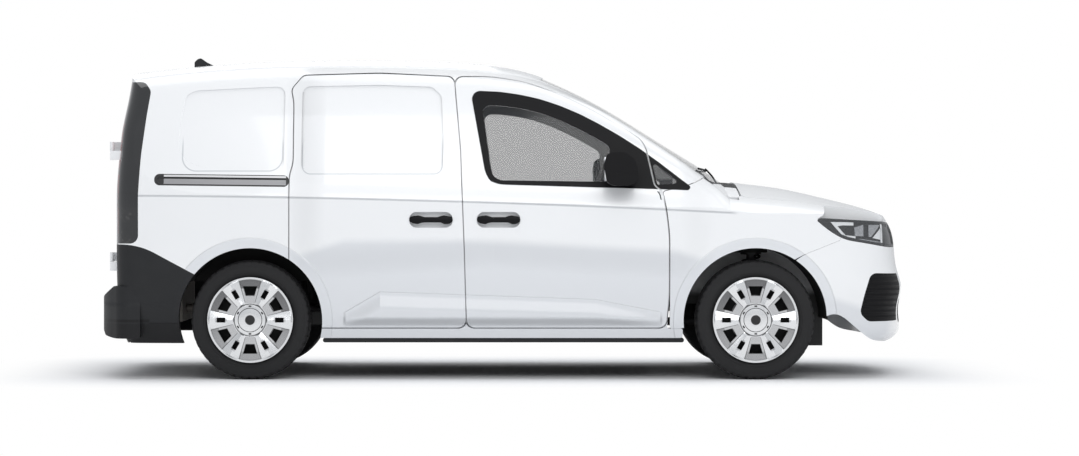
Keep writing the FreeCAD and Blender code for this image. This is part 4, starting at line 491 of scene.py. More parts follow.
TYRE_STEPS = 144
BLOCK_GAP = 0.0044
BLOCK_STEPS = 3
TREAD_RADIUS = 0.312
WHEEL_PLACES = {"front_left": (1.363, 0.79), "front_right": (1.363, -0.79),
                "rear_left": (-1.392, 0.79), "rear_right": (-1.392, -0.79)}
HALF_TYRE = [(0.0, 0.3258), (0.012, 0.3258), (0.0125, 0.3203), (0.0195, 0.3203), (0.020, 0.3257),
              (0.044, 0.3250), (0.0445, 0.3198), (0.0515, 0.3196), (0.052, 0.3247), (0.070, 0.3236),
              (0.083, 0.3212), (0.0905, 0.3165), (0.0950, 0.3085), (0.0975, 0.3000), (0.0972, 0.2980),
              (0.0985, 0.2965), (0.1005, 0.2850), (0.1010, 0.2720), (0.1005, 0.2600),
              (0.1018, 0.2590), (0.1018, 0.2565), (0.1000, 0.2555), (0.0980, 0.2480), (0.0940, 0.2400),
              (0.0900, 0.2350), (0.0880, 0.2290), (0.080, 0.2160), (0.040, 0.2120)]
section = HALF_TYRE + [(-a, r) for a, r in reversed(HALF_TYRE[1:])]

rubber, place = new_material("tyre rubber")
x, y, z = place.parts()
mottle = place.noise(34.0, 6.0)
skin = place.noise(900.0, 2.0)
from_axle = arch_distance(x, z)
rings = (from_axle * 2400.0).wave()
on_wall = from_axle.between(0.262, 0.294, 0.002)
off_road = 1.0 - from_axle.rise(0.318, 0.3255)
tone = (mottle * 0.6 + off_road * 0.2).mix((0.008, 0.008, 0.009), (0.019, 0.019, 0.020))
close_solid(tone, 0.62 + mottle * 0.2, skin * 0.00006 + rings * on_wall * 0.00012, specular=0.35)

tyre = spun(section, TYRE_STEPS)


def block_gap(centre):
    """Whether a face lies between two blocks of the tread."""
    turn = math.atan2(centre.x, centre.z) % math.tau
    step = int(turn / math.tau * TYRE_STEPS)
    reach = math.hypot(centre.x, centre.z)
    across = abs(centre.y)
    if reach < TREAD_RADIUS:
        return False
    if across > 0.053:
        return step % BLOCK_STEPS == 0
    return 0.021 < across < 0.043 and (step + 1) % BLOCK_STEPS == 0


for part in (tyre.data.vertices, tyre.data.edges, tyre.data.polygons):
    part.foreach_set("select", [False] * len(part))
for face in tyre.data.polygons:
    face.select = block_gap(face.center)
bpy.ops.object.mode_set(mode="EDIT")
bpy.ops.mesh.select_mode(type="FACE")
bpy.ops.mesh.extrude_region_shrink_fatten(TRANSFORM_OT_shrink_fatten={"value": -BLOCK_GAP})
bpy.ops.object.mode_set(mode="OBJECT")
for corner, (wheel_x, wheel_y) in WHEEL_PLACES.items():
    node = "tyre_" + corner
    piece = copied(tyre, (wheel_x, wheel_y, AXLE_Z))
    finish(piece, node + "_look", rubber, body_of_node[node], 26.0)
    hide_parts(node)
bpy.data.objects.remove(tyre)


# Wheel covers: silver-lacquered mouldings snapped over steel rims. They are the frame's own shapes.
# A dark ring and six small dark pockets, painted shade for a groove and pockets, and a dark blank
# centre cap are set into each hub.
wheel_silver, place = new_material("wheel silver")
x, y, z = place.parts()
flake = place.noise(2600.0, 1.0)
cloud = place.noise(6.0, 3.0)
from_axle = arch_distance(x, z)
across = x - ((x > 0.0) * (AXLES_X[0] - AXLES_X[1]) + AXLES_X[1])
sixth = place.maths("ARCTAN2", across, z - AXLE_Z) / math.radians(60.0) + 0.5
off_window = abs(place.maths("FRACT", sixth) - 0.5) * 2.0
pocket = from_axle.between(0.178, 0.220, 0.003) * (1.0 - off_window.rise(0.50, 0.56))
slot_edge_shade = off_window.rise(0.86, 0.90) * from_axle.between(0.128, 0.190, 0.004)
grime = (1.0 - from_axle.rise(0.10, 0.24)) * cloud.rise(0.4, 0.8) * 0.10
inside = 1.0 - abs(y).rise(0.880, 0.888)
tone = grime.mix(flake.mix((0.70, 0.71, 0.725), (0.84, 0.85, 0.865)), (0.42, 0.42, 0.42))
hub_edge_shade = from_axle.between(0.0840, 0.0885, 0.0015)
spoke_edge_shade = off_window.between(0.515, 0.545, 0.018) * from_axle.between(0.100, 0.219, 0.004)
# Painted shade: the wells between the spokes are darkened, and the pockets more so, most at their tops.
painted_well_shade = (1.0 - off_window.rise(0.50, 0.53)) * from_axle.between(0.094, 0.222, 0.003)
upper_shade = (z - AXLE_Z).rise(-0.16, 0.14)
tone = (painted_well_shade * 0.45).mix(tone, (0.30, 0.30, 0.31))
tone = (pocket * (upper_shade * 0.45 + 0.35)).mix(tone, (0.080, 0.080, 0.085))
# Painted shade: dark lines along the slots, the spokes' edges and the rim of the hub's dish.
tone = (slot_edge_shade * 0.4).mix(tone, (0.16, 0.16, 0.17))
tone = (hub_edge_shade.most(spoke_edge_shade) * 0.72).mix(tone, (0.050, 0.050, 0.052))
crown = (off_window - 0.54).most(0.0) * from_axle.between(0.095, 0.220, 0.010) * 0.020
dish = from_axle.rise(0.030, 0.085) * -0.0040
tone = inside.mix(tone, (0.020, 0.020, 0.021))
close_solid(tone, 0.24 + inside * 0.4, flake * 0.00001 + crown + dish - hub_edge_shade * 0.001,
            metallic=0.75 - inside * 0.6, coat=0.5 - inside * 0.5, coat_roughness=0.08)
dressed(wheel_silver, *("wheel_" + corner for corner in WHEEL_PLACES))
# Near black for the painted shade of the hub's ring groove and pockets, and for the brake shields.
recess_shade_and_shield_black, place = new_material("dark recess")
soot = place.noise(60.0, 3.0)
close_solid(soot.mix((0.010, 0.010, 0.011), (0.022, 0.022, 0.023)), 0.7)

DISC_STEPS, CAP_STEPS = 72, 48
ring = spun([(0.0000, 0.0630), (0.0007, 0.0633), (0.0007, 0.0662), (0.0000, 0.0665)], DISC_STEPS)
cap = spun([(0.0000, 0.0), (0.0030, 0.0), (0.0030, 0.0240), (0.0018, 0.0275), (0.0000, 0.0280)],
           CAP_STEPS)
bpy.ops.mesh.primitive_cube_add(size=1.0, location=(0.0, 0.0003, 0.0755))
pocket = bpy.context.object
pocket.scale = (0.015, 0.0006, 0.0080)
bpy.ops.object.transform_apply()
edit_all()
bpy.ops.mesh.bevel(offset=0.0002, segments=1, affect="EDGES")
bpy.ops.object.mode_set(mode="OBJECT")
marks = [ring, cap]
for i in range(6):
    one = copied(pocket, (0.0, 0.0, 0.0))
    one.rotation_euler = (0.0, math.radians(60.0 * i), 0.0)
    marks.append(one)
bpy.data.objects.remove(pocket)
only(ring)
for one in marks:
    one.select_set(True)
bpy.ops.object.join()


def at_wheels(part, name, out_y, material, rear_out_y=None, turning=True):
    """A copy of a part at every wheel with its face outwards. The part itself then goes."""
    for corner, (wheel_x, wheel_y) in WHEEL_PLACES.items():
        far_y = rear_out_y if rear_out_y and wheel_x < 0 else out_y
        piece = copied(part, (wheel_x, math.copysign(far_y, wheel_y), AXLE_Z),
                       0.0 if wheel_y > 0 else math.pi)
        body = body_of_node["wheel_" + corner]
        if not turning:
            body = "body" if wheel_x < 0 else "knuckle_" + corner.split("_")[1]
        finish(piece, name + corner, material, body)
    bpy.data.objects.remove(part)


HUB_FACE_Y = 0.908
at_wheels(ring, "hub_marks_", HUB_FACE_Y, recess_shade_and_shield_black)


# Brakes behind the covers: cast iron discs, machined bright where the pads run, and pressed shields.
# The knuckles, struts, subframe and rear axle round them are painted black.
cast_iron, place = new_material("black chassis paint")
lumps = place.noise(45.0, 5.0)
rust = place.noise(11.0, 6.0).rise(0.62, 0.80)
tone = (rust * 0.5).mix(lumps.mix(NEAR_BLACK, (0.014, 0.014, 0.015)), (0.060, 0.034, 0.022))
close_solid(tone, 0.5 + rust * 0.35, lumps * 0.0006)
dressed(cast_iron, "knuckle_left", "knuckle_right", "struts", "front_subframe", "rear_axle")

bright_iron, place = new_material("machined iron")
x, y, z = place.parts()
from_axle = arch_distance(x, z)
turned = place.node("TexNoise", {"noise_dimensions": "1D"}, {"W": from_axle * 900.0, "Scale": 1.0})
close_solid(turned.mix((0.24, 0.24, 0.25), (0.40, 0.40, 0.41)), 0.32 + turned * 0.16, turned * 0.00004,
            metallic=0.85)
shield = spun([(0.0, 0.055), (0.0, 0.2100), (0.0030, 0.2130), (0.0045, 0.2100), (0.0030, 0.055)],
              DISC_STEPS)
SHIELD_Y = 0.7900
at_wheels(shield, "brake_shield_", SHIELD_Y, recess_shade_and_shield_black, turning=False)
disc = spun([(0.0, 0.060), (0.0, 0.132), (0.0012, 0.134), (0.0180, 0.134), (0.0192, 0.132),
             (0.0192, 0.086), (0.0240, 0.080), (0.0240, 0.060)], DISC_STEPS)
FRONT_DISC_Y, REAR_DISC_Y = 0.8230, 0.8510
at_wheels(disc, "disc_", FRONT_DISC_Y, bright_iron, REAR_DISC_Y)


# Coil springs: round steel wire wound round each front strut and coated black.
# Each one is held between the strut's two seats.
def tube(name, points, radius, material, angle=50.0):
    """A round bar along a smooth line of points."""
    bpy.ops.curve.primitive_nurbs_path_add(location=(0.0, 0.0, 0.0))
    bar = bpy.context.object
    bar.data.splines.clear()
    line = bar.data.splines.new("NURBS")
    line.points.add(len(points) - 1)
    for spot, point in zip(line.points, points):
        spot.co = (*point, 1.0)
    line.order_u = 3
    line.use_endpoint_u = True
    bar.data.bevel_depth = radius
    bar.data.bevel_resolution = 3
    bar.data.use_fill_caps = True
    only(bar)
    bpy.ops.object.convert(target="MESH")
    finish(bpy.context.object, name, material, "body", angle)


STRUT_Y = 0.600
SPRING_LOW_Z, SPRING_TOP_Z = 0.560, 0.830
SPRING_STEPS = 40
STEPS_A_TURN = 8
SPRING_RADIUS, WIRE_RADIUS = 0.053, 0.0062
for name, side in SIDES:
    coil = []
    for i in range(SPRING_STEPS + 1):
        turn = math.tau * i / STEPS_A_TURN
        rise = SPRING_LOW_Z + (SPRING_TOP_Z - SPRING_LOW_Z) * i / SPRING_STEPS
        coil.append((AXLES_X[0] + SPRING_RADIUS * math.cos(turn),
                     side * STRUT_Y + SPRING_RADIUS * math.sin(turn), rise))
    tube("spring_" + name, coil, WIRE_RADIUS, cast_iron, 60.0)


# Headlamps: a clear moulded cover over a black housing with a light strip bent along its inner end,
# two square projectors and a slim bar below. The cover is the outer skin of the frame's own shape.
def modified(piece, kind, **settings):
    """Adds a modifier with these settings to a piece and applies it."""
    step = piece.modifiers.new(kind.lower(), kind)
    for name, value in settings.items():
        setattr(step, name, value)
    bpy.context.view_layer.objects.active = piece
    bpy.ops.object.modifier_apply(modifier=step.name)


def plate(name, outline, axis, low, high, material, bevel=0.0, body="body",
          angle=30.0):
    """A flat outline raised along an axis from low to high, with its edges rounded by bevel."""
    bpy.ops.mesh.primitive_circle_add(vertices=len(outline), radius=1.0, fill_type="NGON")
    piece = bpy.context.object
    along = "xyz".index(axis)
    for vertex, flat in zip(piece.data.vertices, outline):
        vertex.co = (*flat[:along], low, *flat[along:])
    reach = [0.0, 0.0]
    reach.insert(along, high - low)
    edit_all()
    bpy.ops.mesh.extrude_region_move(TRANSFORM_OT_translate={"value": reach})
    bpy.ops.mesh.select_all(action="SELECT")
    bpy.ops.mesh.normals_make_consistent(inside=False)
    bpy.ops.object.mode_set(mode="OBJECT")
    if bevel > 0.0:
        modified(piece, "BEVEL", width=bevel, segments=2, limit_method="ANGLE",
                 angle_limit=math.radians(25.0))
    return finish(piece, name, material, body, angle)


def boolean(piece, other, operation):
    """Cuts or crops a piece with another one, which then goes."""
    modified(piece, "BOOLEAN", operation=operation, object=other, solver="EXACT")
    bpy.data.objects.remove(other)


LAMP_ANGLE = 28.0
HOUSING_DEPTH, BEZEL_DEPTH = 0.012, 0.0018
LAMP_NEAR_Y, LAMP_FAR_Y = 0.50, 0.93


def shrunk(node, depth):
    """A frame node's shape merged and drawn in by a depth, for what lies behind its skin."""
    piece = nodes[node].copy()
    piece.data = nodes[node].data.copy()
    piece.parent = None
    piece.matrix_world = Matrix.Identity(4)
    bpy.context.collection.objects.link(piece)
    piece.hide_viewport = piece.hide_render = False
    piece.hide_set(False)
    only(piece)
    edit_all()
    bpy.ops.mesh.remove_doubles(threshold=0.00004)
    bpy.ops.transform.shrink_fatten(value=-depth)
    bpy.ops.object.mode_set(mode="OBJECT")
    bpy.ops.object.shade_smooth_by_angle(angle=math.radians(LAMP_ANGLE))
    return piece


lamp_cover, place = new_material("clear lamp cover")
haze = place.noise(5.0, 2.0)
close_solid(haze.mix((0.50, 0.52, 0.54), (0.60, 0.62, 0.64)), 0.03 + haze * 0.02, alpha=0.10,
            specular=0.6)
lamp_black, place = new_material("black lamp housing")
x, y, z = place.parts()
grain = place.noise(500.0, 2.0)
flutes = ((x * 0.8 + z) * 900.0).wave()
close_solid(grain.mix(NEAR_BLACK, (0.016, 0.017, 0.019)), 0.30,
            grain * 0.00005 + flutes * 0.0001, specular=0.35)
lamp_strip, place = new_material("lit lamp strip")
x, y, z = place.parts()
beads = ((x + z * 1.5) * 700.0).wave() * 0.5 + 0.5
close_solid(beads.mix((0.66, 0.68, 0.70), (0.82, 0.83, 0.84)), 0.25, beads * 0.0002, coat=0.6)
lamp_bright, place = new_material("lamp reflector")
facets = place.cells(120.0)
close_solid(facets.mix((0.30, 0.31, 0.33), (0.55, 0.56, 0.58)), 0.22, facets * 0.0006, metallic=0.7)

dressed(lamp_cover, "headlamps")
finish(shrunk("headlamps", HOUSING_DEPTH), "lamp_housings", lamp_black, angle=LAMP_ANGLE)


def photo_place(px, py):
    """The X and Z of a point of the near side, seen at this pixel of the picture."""
    return (CAMERA_PLACE[0] + (px - AXIS_PX) * METRES_A_PIXEL,
            CAMERA_PLACE[2] + (AXIS_PY - py) * METRES_A_PIXEL)


# The bezel is the black rim just under the cover: the lamp's shape less its window.
LAMP_WINDOW = [(826.5, 221.1), (910.0, 225.2), (910.0, 246.6), (876.0, 242.2), (859.0, 239.2),
               (849.0, 237.0), (841.0, 234.0), (833.0, 229.4), (826.5, 224.3)]
bezel = shrunk("headlamps", BEZEL_DEPTH)
window = plate("lamp_window", [photo_place(*point) for point in LAMP_WINDOW], "y", -1.0, 1.0,
               lamp_black, 0.0, "body")
boolean(bezel, window, "DIFFERENCE")
finish(bezel, "lamp_bezels", lamp_black, angle=LAMP_ANGLE)
LAMP_FORMS = {
    "strip": (lamp_strip, 0.0050, [
        [(831, 222.0), (854.5, 222.2), (854.5, 225.6), (843, 225.4), (838, 226.2), (846, 235.2),
         (856.5, 236.4), (856.5, 239.0), (845, 237.6), (837, 229.0)],
        [(884.0, 223.4), (886.2, 223.6), (886.0, 245.5), (883.6, 245.0)],
        [(884.5, 228.0), (884.3, 240.2), (874.6, 238.2)]]),
    "reflector": (lamp_bright, 0.0075, [
        [(855.5, 227.5), (865.0, 224.8), (865.0, 236.5), (855.8, 236.0)],
        [(870.5, 225.0), (884.0, 225.0), (873.5, 237.0), (870.5, 237.0)],
        [(845.0, 240.5), (862.0, 239.0), (883.0, 242.0), (883.0, 243.5), (862.0, 241.0),
         (846.0, 242.0)]])}
for kind, (material, depth, outlines) in LAMP_FORMS.items():
    for number, outline in enumerate(outlines):
        for side_name, side in SIDES:
            flat = [photo_place(*point) for point in outline]
            name = f"lamp_{kind}_{number}_{side_name}"
            low, high = sorted((side * LAMP_NEAR_Y, side * LAMP_FAR_Y))
            form = plate(name, flat, "y", low, high, material, 0.0, "body")
            boolean(form, shrunk("headlamps", depth), "INTERSECT")
            finish(form, name, material, "body", LAMP_ANGLE)


# Tail lamps: tall smoked lenses wrapped round the corners, red towards the rear, with three lit fields
# behind the lens and a seam where the upper moulding meets the lower one.
tail_lens, place = new_material("smoked lamp lens")
x, y, z = place.parts()
facing_x = place.node("NewGeometry", output="Normal").parts()[0]
rearward = 1.0 - facing_x.rise(-0.97, -0.86)
fields = z.between(0.99, 1.12, 0.004) + z.between(1.16, 1.40, 0.004) + z.between(0.80, 0.93, 0.004)
ribs = (abs(y) * 1100.0).wave() * 0.5 + 0.5
haze = place.noise(6.0, 3.0)
seam = z.between(1.0135, 1.0165, 0.0008)
side_tone = haze.mix((0.006, 0.007, 0.008), (0.013, 0.014, 0.016))
rear_tone = (fields * (0.5 + ribs * 0.5)).mix((0.090, 0.008, 0.008), (0.420, 0.020, 0.016))
tone = seam.mix(rearward.mix(side_tone, rear_tone), (0.006, 0.006, 0.006))
close_solid(tone, 0.12 + haze * 0.05, ribs * rearward * fields * 0.0003, coat=1.0, coat_roughness=0.02)
dressed(tail_lens, "tail_lamps")


# Sliding door rails: a brushed aluminium channel in each rear quarter with a black surround
# and black end stops, and the slot in which the door's carriage runs.
rail_metal, place = new_material("rail aluminium")
x, y, z = place.parts()
drawn = place.node("CombineXYZ", values={0: x * 6.0, 1: z * 1800.0})
draw = place.node("TexNoise", {"noise_dimensions": "2D"}, {"Vector": drawn, "Scale": 1.0})
height = z - (1.0871 - 0.01216 * (x + 1.548))
channel = height.between(-0.0225, 0.0265, 0.001) * x.between(-1.862, -1.198, 0.002)
# The slot is sunk a little and painted near black as its shade.
shaded_slot = height.between(0.0065, 0.0155, 0.001)
low_half = 1.0 - height.rise(0.008, 0.012)
silver = draw.mix((0.54, 0.54, 0.55), (0.64, 0.64, 0.65))
silver = low_half.mix(silver, draw.mix((0.25, 0.25, 0.26), (0.34, 0.34, 0.35)))
tone = (channel * (1.0 - shaded_slot)).mix((0.016, 0.016, 0.017), silver)
close_solid(tone, 0.34 + draw * 0.1, draw * channel * 0.00008 - shaded_slot * 0.002, metallic=channel * 0.55)
dressed(rail_metal, "slide_rails")


# Door handles: black pull bars on the front and sliding doors, broad at both ends and slim in the
# middle, each moulded hollow and clipped over the frame's bar across its recess.
HANDLE_SHAPE = [(-0.1190, 0.008), (-0.1110, 0.019), (-0.0700, 0.0245), (-0.0560, 0.0215),
                (-0.0360, 0.0150), (0.0360, 0.0150), (0.0560, 0.0215), (0.0700, 0.0245),
                (0.1110, 0.0175), (0.1190, 0.006), (0.1160, -0.012), (0.0940, -0.0240),
                (0.0720, -0.0235), (0.0540, -0.0155), (0.0360, -0.0145), (-0.0360, -0.0145),
                (-0.0540, -0.0170), (-0.0720, -0.0240), (-0.1000, -0.0190), (-0.1160, -0.008)]
HANDLE_Z = 0.872
HANDLE_BACK_Y, HANDLE_FACE_Y = 0.9100, 0.9310
HANDLE_ROUNDING = 0.006
for door, handle_x in (("front", -0.038), ("slide", -0.406)):
    for name, side in SIDES:
        outline = [(handle_x + a, HANDLE_Z + b) for a, b in HANDLE_SHAPE]
        low, high = sorted((side * HANDLE_BACK_Y, side * HANDLE_FACE_Y))
        body = "front_door_" + name if door == "front" else "body"
        plate(f"{door}_handle_{name}", outline, "y", low, high, mirror_plastic, HANDLE_ROUNDING,
              body, angle=40.0)


# Door mirrors: silvered glass held in the back of each black shell.
# The shell is the frame's own shape on its door, and the glass is seated on its back.
def skin_x(piece, y, z, start, direction):
    """Where a line along X first meets a piece, for seating what is fixed to its skin."""
    found, where, *_ = piece.ray_cast((start, y, z), (direction, 0.0, 0.0))
    return where.x if found else None


mirror_glass, place = new_material("mirror glass")
smear = place.noise(12.0, 4.0)
close_solid(smear.mix((0.62, 0.64, 0.66), (0.72, 0.74, 0.76)), 0.03 + smear * 0.04, metallic=1.0)
for name, side in SIDES:
    shell = nodes["mirror_handle_" + name]
    spots = [skin_x(shell, side * a, b, 0.30, 1.0) for a, b in ((0.94, 1.11), (1.01, 1.11),
                                                                 (0.94, 1.19), (1.01, 1.19))]
    back_x = min(spot for spot in spots if spot is not None)
    outline = [(side * a, b) for a, b in ((0.925, 1.085), (1.015, 1.082), (1.034, 1.100),
                                          (1.036, 1.190), (1.020, 1.212), (0.930, 1.208),
                                          (0.918, 1.195), (0.916, 1.100))]
    plate("mirror_glass_" + name, outline, "x", back_x - 0.0015, back_x + 0.010, mirror_glass, 0.001,
          "front_door_" + name)


# Wipers: two pressed arms from spindles in the scuttle, with rubber blades.
# They are parked low on the glass.
def skin_z(piece, x, y):
    """The height of a piece's top at a place in plan."""
    found, where, *_ = piece.ray_cast((x, y, 3.0), (0.0, 0.0, -1.0))
    return where.z if found else None


screen = nodes["windscreen"]
BLADE_LIFT = 0.009
BLADE_RADIUS, ARM_RADIUS = 0.0055, 0.0050
# The blade's first and last Y, and the spindle's.
WIPERS = (("driver", 0.05, 0.66, 0.30), ("passenger", -0.60, 0.00, -0.34))
for name, first_y, last_y, spindle_y in WIPERS:
    blade = []
    for i in range(7):
        blade_y = first_y + (last_y - first_y) * i / 6
        blade_x = 1.150 - 0.22 * blade_y * blade_y
        blade.append((blade_x, blade_y, skin_z(screen, blade_x, blade_y) + BLADE_LIFT))
    tube("wiper_blade_" + name, blade, BLADE_RADIUS, mirror_plastic)
    foot_x = 1.235 - 0.20 * spindle_y * spindle_y
    foot_z = skin_z(nodes["scuttle"], foot_x, spindle_y) or 1.06
    middle = blade[3]
    arm = [(foot_x, spindle_y, foot_z + 0.004), (foot_x - 0.02, spindle_y + 0.01, foot_z + 0.008),
           ((foot_x + middle[0]) / 2, (spindle_y + middle[1]) / 2, (foot_z + middle[2]) / 2 + 0.012),
           (middle[0], middle[1], middle[2] + 0.008)]
    tube("wiper_arm_" + name, arm, ARM_RADIUS, mirror_plastic)


# Rear doors' furniture: a black pull handle by the split of the wide leaf and a slim high brake
# lamp over it, both clipped to the outer skin.
def panel(y0, y1, z0, z1):
    """The corners of a rectangle, across and up."""
    return [(y0, z0), (y1, z0), (y1, z1), (y0, z1)]


wide_leaf = nodes["rear_door_left"]
pull_x = skin_x(wide_leaf, -0.06, 0.93, -3.0, 1.0)
plate("rear_pull", panel(-0.100, -0.010, 0.850, 1.010), "x", pull_x - 0.010, pull_x + 0.010,
      mirror_plastic, 0.006, "rear_door_left")
brake_x = min(skin_x(wide_leaf, a, 1.60, -3.0, 1.0) for a in (0.15, 0.45))
plate("high_brake_lamp", panel(0.160, 0.440, 1.590, 1.612), "x", brake_x - 0.005, brake_x + 0.012,
      tail_lens, 0.003, "rear_door_left")


# Engine bay: inner wings and slam panel pressed in steel and painted thinly, sprayed black inside
# the wheelhouses, with the black cowl tray behind.
bay_paint, place = new_material("engine bay paint")
x, y, z = place.parts()
from_axle = arch_distance(x, z)
spray = place.noise(30.0, 4.0)
in_arch = (from_axle < ARCH_LINER_RADIUS) * (abs(y) > 0.44)
low = 1.0 - z.rise(0.44, 0.50)
tone = spray.mix((0.46, 0.47, 0.48), (0.60, 0.61, 0.62))
tone = in_arch.most(low).mix(tone, LINER_BLACK)
close_solid(tone, 0.45 + in_arch * 0.4, spray * 0.0003)
dressed(bay_paint, "engine_bay")
dressed(black_plastic, "cowl")

radiator_fins, place = new_material("radiator fins")
x, y, z = place.parts()
# Painted shade: the darker stripes between the fins stand for the gaps between them.
fins = (z * 1400.0).wave() * 0.5 + 0.5
frame_edge = 1.0 - (abs(y) < 0.318) * z.between(0.445, 0.812, 0.001)
tone = frame_edge.mix(fins.mix((0.05, 0.05, 0.055), (0.30, 0.30, 0.31)), (0.02, 0.02, 0.021))
close_solid(tone, 0.45, fins * 0.0006, metallic=0.7 - frame_edge * 0.7)
dressed(radiator_fins, "radiator")

# Engine: an aluminium block and head with a ribbed plastic cover, an air box, a battery in its
# tray, a coolant tank and the hoses between them.
engine_metal, place = new_material("cast aluminium")
x, y, z = place.parts()
cast = place.noise(70.0, 5.0)
webs = (y * 95.0).wave().rise(0.80, 0.95) + (z * 80.0).wave().rise(0.85, 0.97)
close_solid(cast.mix((0.20, 0.20, 0.205), (0.36, 0.36, 0.365)), 0.42 + cast * 0.2,
            cast * 0.0008 + webs * 0.004, metallic=0.8)
dressed(engine_metal, "engine_block")
ENGINE_TOP_Z = 0.744
COVER = [(1.370, -0.27), (1.730, -0.27), (1.750, -0.24), (1.750, 0.24), (1.730, 0.27), (1.370, 0.27),
         (1.350, 0.24), (1.350, -0.24)]
plate("engine_cover", COVER, "z", ENGINE_TOP_Z, ENGINE_TOP_Z + 0.045, black_plastic, 0.014)
for i in range(6):
    rib_y = -0.20 + 0.08 * i
    plate("cover_rib_" + str(i), panel(1.40, 1.70, rib_y - 0.010, rib_y + 0.010), "z",
          ENGINE_TOP_Z + 0.043, ENGINE_TOP_Z + 0.052, mirror_plastic, 0.003)
plate("battery", panel(1.42, 1.66, 0.372, 0.540), "z", 0.560, 0.755, black_plastic, 0.006)
plate("air_box", panel(1.75, 1.93, -0.560, -0.370), "z", 0.560, 0.745, mirror_plastic, 0.012)
tank_plastic, place = new_material("clear white tank plastic")
x, y, z = place.parts()
fill = z.rise(0.700, 0.704)
cloud = place.noise(20.0, 2.0)
close_solid(fill.mix((0.62, 0.50, 0.46), (0.72, 0.72, 0.69)), 0.35 + cloud * 0.1)
plate("coolant_tank", panel(1.70, 1.84, 0.380, 0.520), "z", 0.620, 0.740, tank_plastic, 0.020)
TOP_HOSE = [(1.60, 0.20, 0.700), (1.72, 0.30, 0.760), (1.84, 0.32, 0.770), (1.93, 0.26, 0.770),
            (1.968, 0.24, 0.770)]
AIR_HOSE = [(1.50, -0.18, 0.770), (1.60, -0.33, 0.800), (1.72, -0.42, 0.790), (1.80, -0.46, 0.740)]
tube("top_hose", TOP_HOSE, 0.019, black_plastic)
tube("intake_hose", AIR_HOSE, 0.030, black_plastic)


# Floor: one folded steel pan, with a ribbed grey mat over the load floor, black carpet in the cab,
# and black underseal below and inside the wheel boxes.
floor_finish, place = new_material("floor covering")
x, y, z = place.parts()
facing_z = place.node("NewGeometry", output="Normal").parts()[2]
ribs = (y * 420.0).wave().rise(0.2, 0.7)
weave = place.noise(420.0, 3.0)
scuff = place.noise(5.0, 6.0)
in_cab = x.rise(-0.32, -0.31)
under = (1.0 - facing_z.rise(-0.35, -0.2)).most((arch_distance(x, z) < ARCH_LINER_RADIUS)
                                              * (abs(y) > 0.5))
mat = (ribs * 0.5 + scuff * 0.5).mix((0.070, 0.072, 0.074), (0.130, 0.132, 0.134))
carpet = weave.mix((0.014, 0.014, 0.015), (0.034, 0.034, 0.036))
tone = under.mix(in_cab.mix(mat, carpet), (0.004, 0.004, 0.004))
close_solid(tone, 0.72 + weave * 0.15, ribs * (1.0 - in_cab) * 0.0015 + weave * in_cab * 0.0012)
dressed(floor_finish, "floor_pan")

# Bulkhead: a steel sheet between cab and load space, stiffened by pressed ribs and painted white
# on the load side and grey towards the seats.
bulkhead_paint, place = new_material("bulkhead paint")
x, y, z = place.parts()
ribs = (y * 22.0).wave().rise(0.55, 0.85) * z.between(0.72, 1.48, 0.03)
spray = place.noise(180.0, 2.0)
cab_side = x.rise(-0.318, -0.316)
tone = cab_side.mix(spray.mix((0.62, 0.63, 0.64), (0.70, 0.71, 0.72)),
                    spray.mix((0.10, 0.10, 0.105), (0.13, 0.13, 0.135)))
close_solid(tone, 0.45, ribs * 0.006 + spray * 0.0001)
dressed(bulkhead_paint, "bulkhead")


# Dashboard: a moulded panel in soft black plastic with a grey lower half, a hooded instrument
# panel, a plain touch screen, air vents, a glovebox lid and the pedals below.
dash_skin, place = new_material("dashboard skin")
x, y, z = place.parts()
leather = place.cells(420.0, "DISTANCE_TO_EDGE")
cloud = place.noise(6.0, 3.0)
lid = (z.between(0.74, 0.90, 0.0015) * y.between(-0.70, -0.22, 0.0015)
       - z.between(0.746, 0.894, 0.0015) * y.between(-0.694, -0.226, 0.0015)) * (x < 0.72)
tone = z.rise(0.905, 0.915).mix((0.048, 0.049, 0.051), (0.018, 0.018, 0.019))
tone = (lid * 0.8).mix(cloud.mix(tone, (0.030, 0.030, 0.031)), (0.004, 0.004, 0.004))
close_solid(tone, 0.55 + cloud * 0.1, leather.least(0.1) * 0.003 - lid * 0.003)
dressed(dash_skin, "dashboard")
screen_black, place = new_material("screen glass")
sheen = place.noise(8.0, 2.0)
close_solid(sheen.mix((0.006, 0.007, 0.009), (0.012, 0.013, 0.016)), 0.06 + sheen * 0.04)
HOOD = [(0.640, 0.960), (0.760, 0.990), (0.770, 1.040), (0.700, 1.075), (0.625, 1.060)]
SCREEN = [(0.575, 0.905), (0.590, 0.900), (0.612, 1.035), (0.597, 1.040)]
STALK = [(0.590, 0.920), (0.680, 0.940), (0.680, 1.000), (0.604, 0.990)]
plate("instrument_hood", HOOD, "y", 0.240, 0.560, dash_skin, 0.010)
plate("instrument_face", panel(0.618, 0.630, 0.975, 1.050), "y", 0.262, 0.538, screen_black, 0.002)
plate("centre_screen", SCREEN, "y", -0.135, 0.135, screen_black, 0.004)
plate("screen_stalk", STALK, "y", -0.060, 0.060, dash_skin, 0.004)
VENTS_Y = (-0.66, -0.19, 0.19, 0.66)
SLAT_LOW_Z, SLAT_PITCH, SLAT_HEIGHT = 0.936, 0.0125, 0.0035
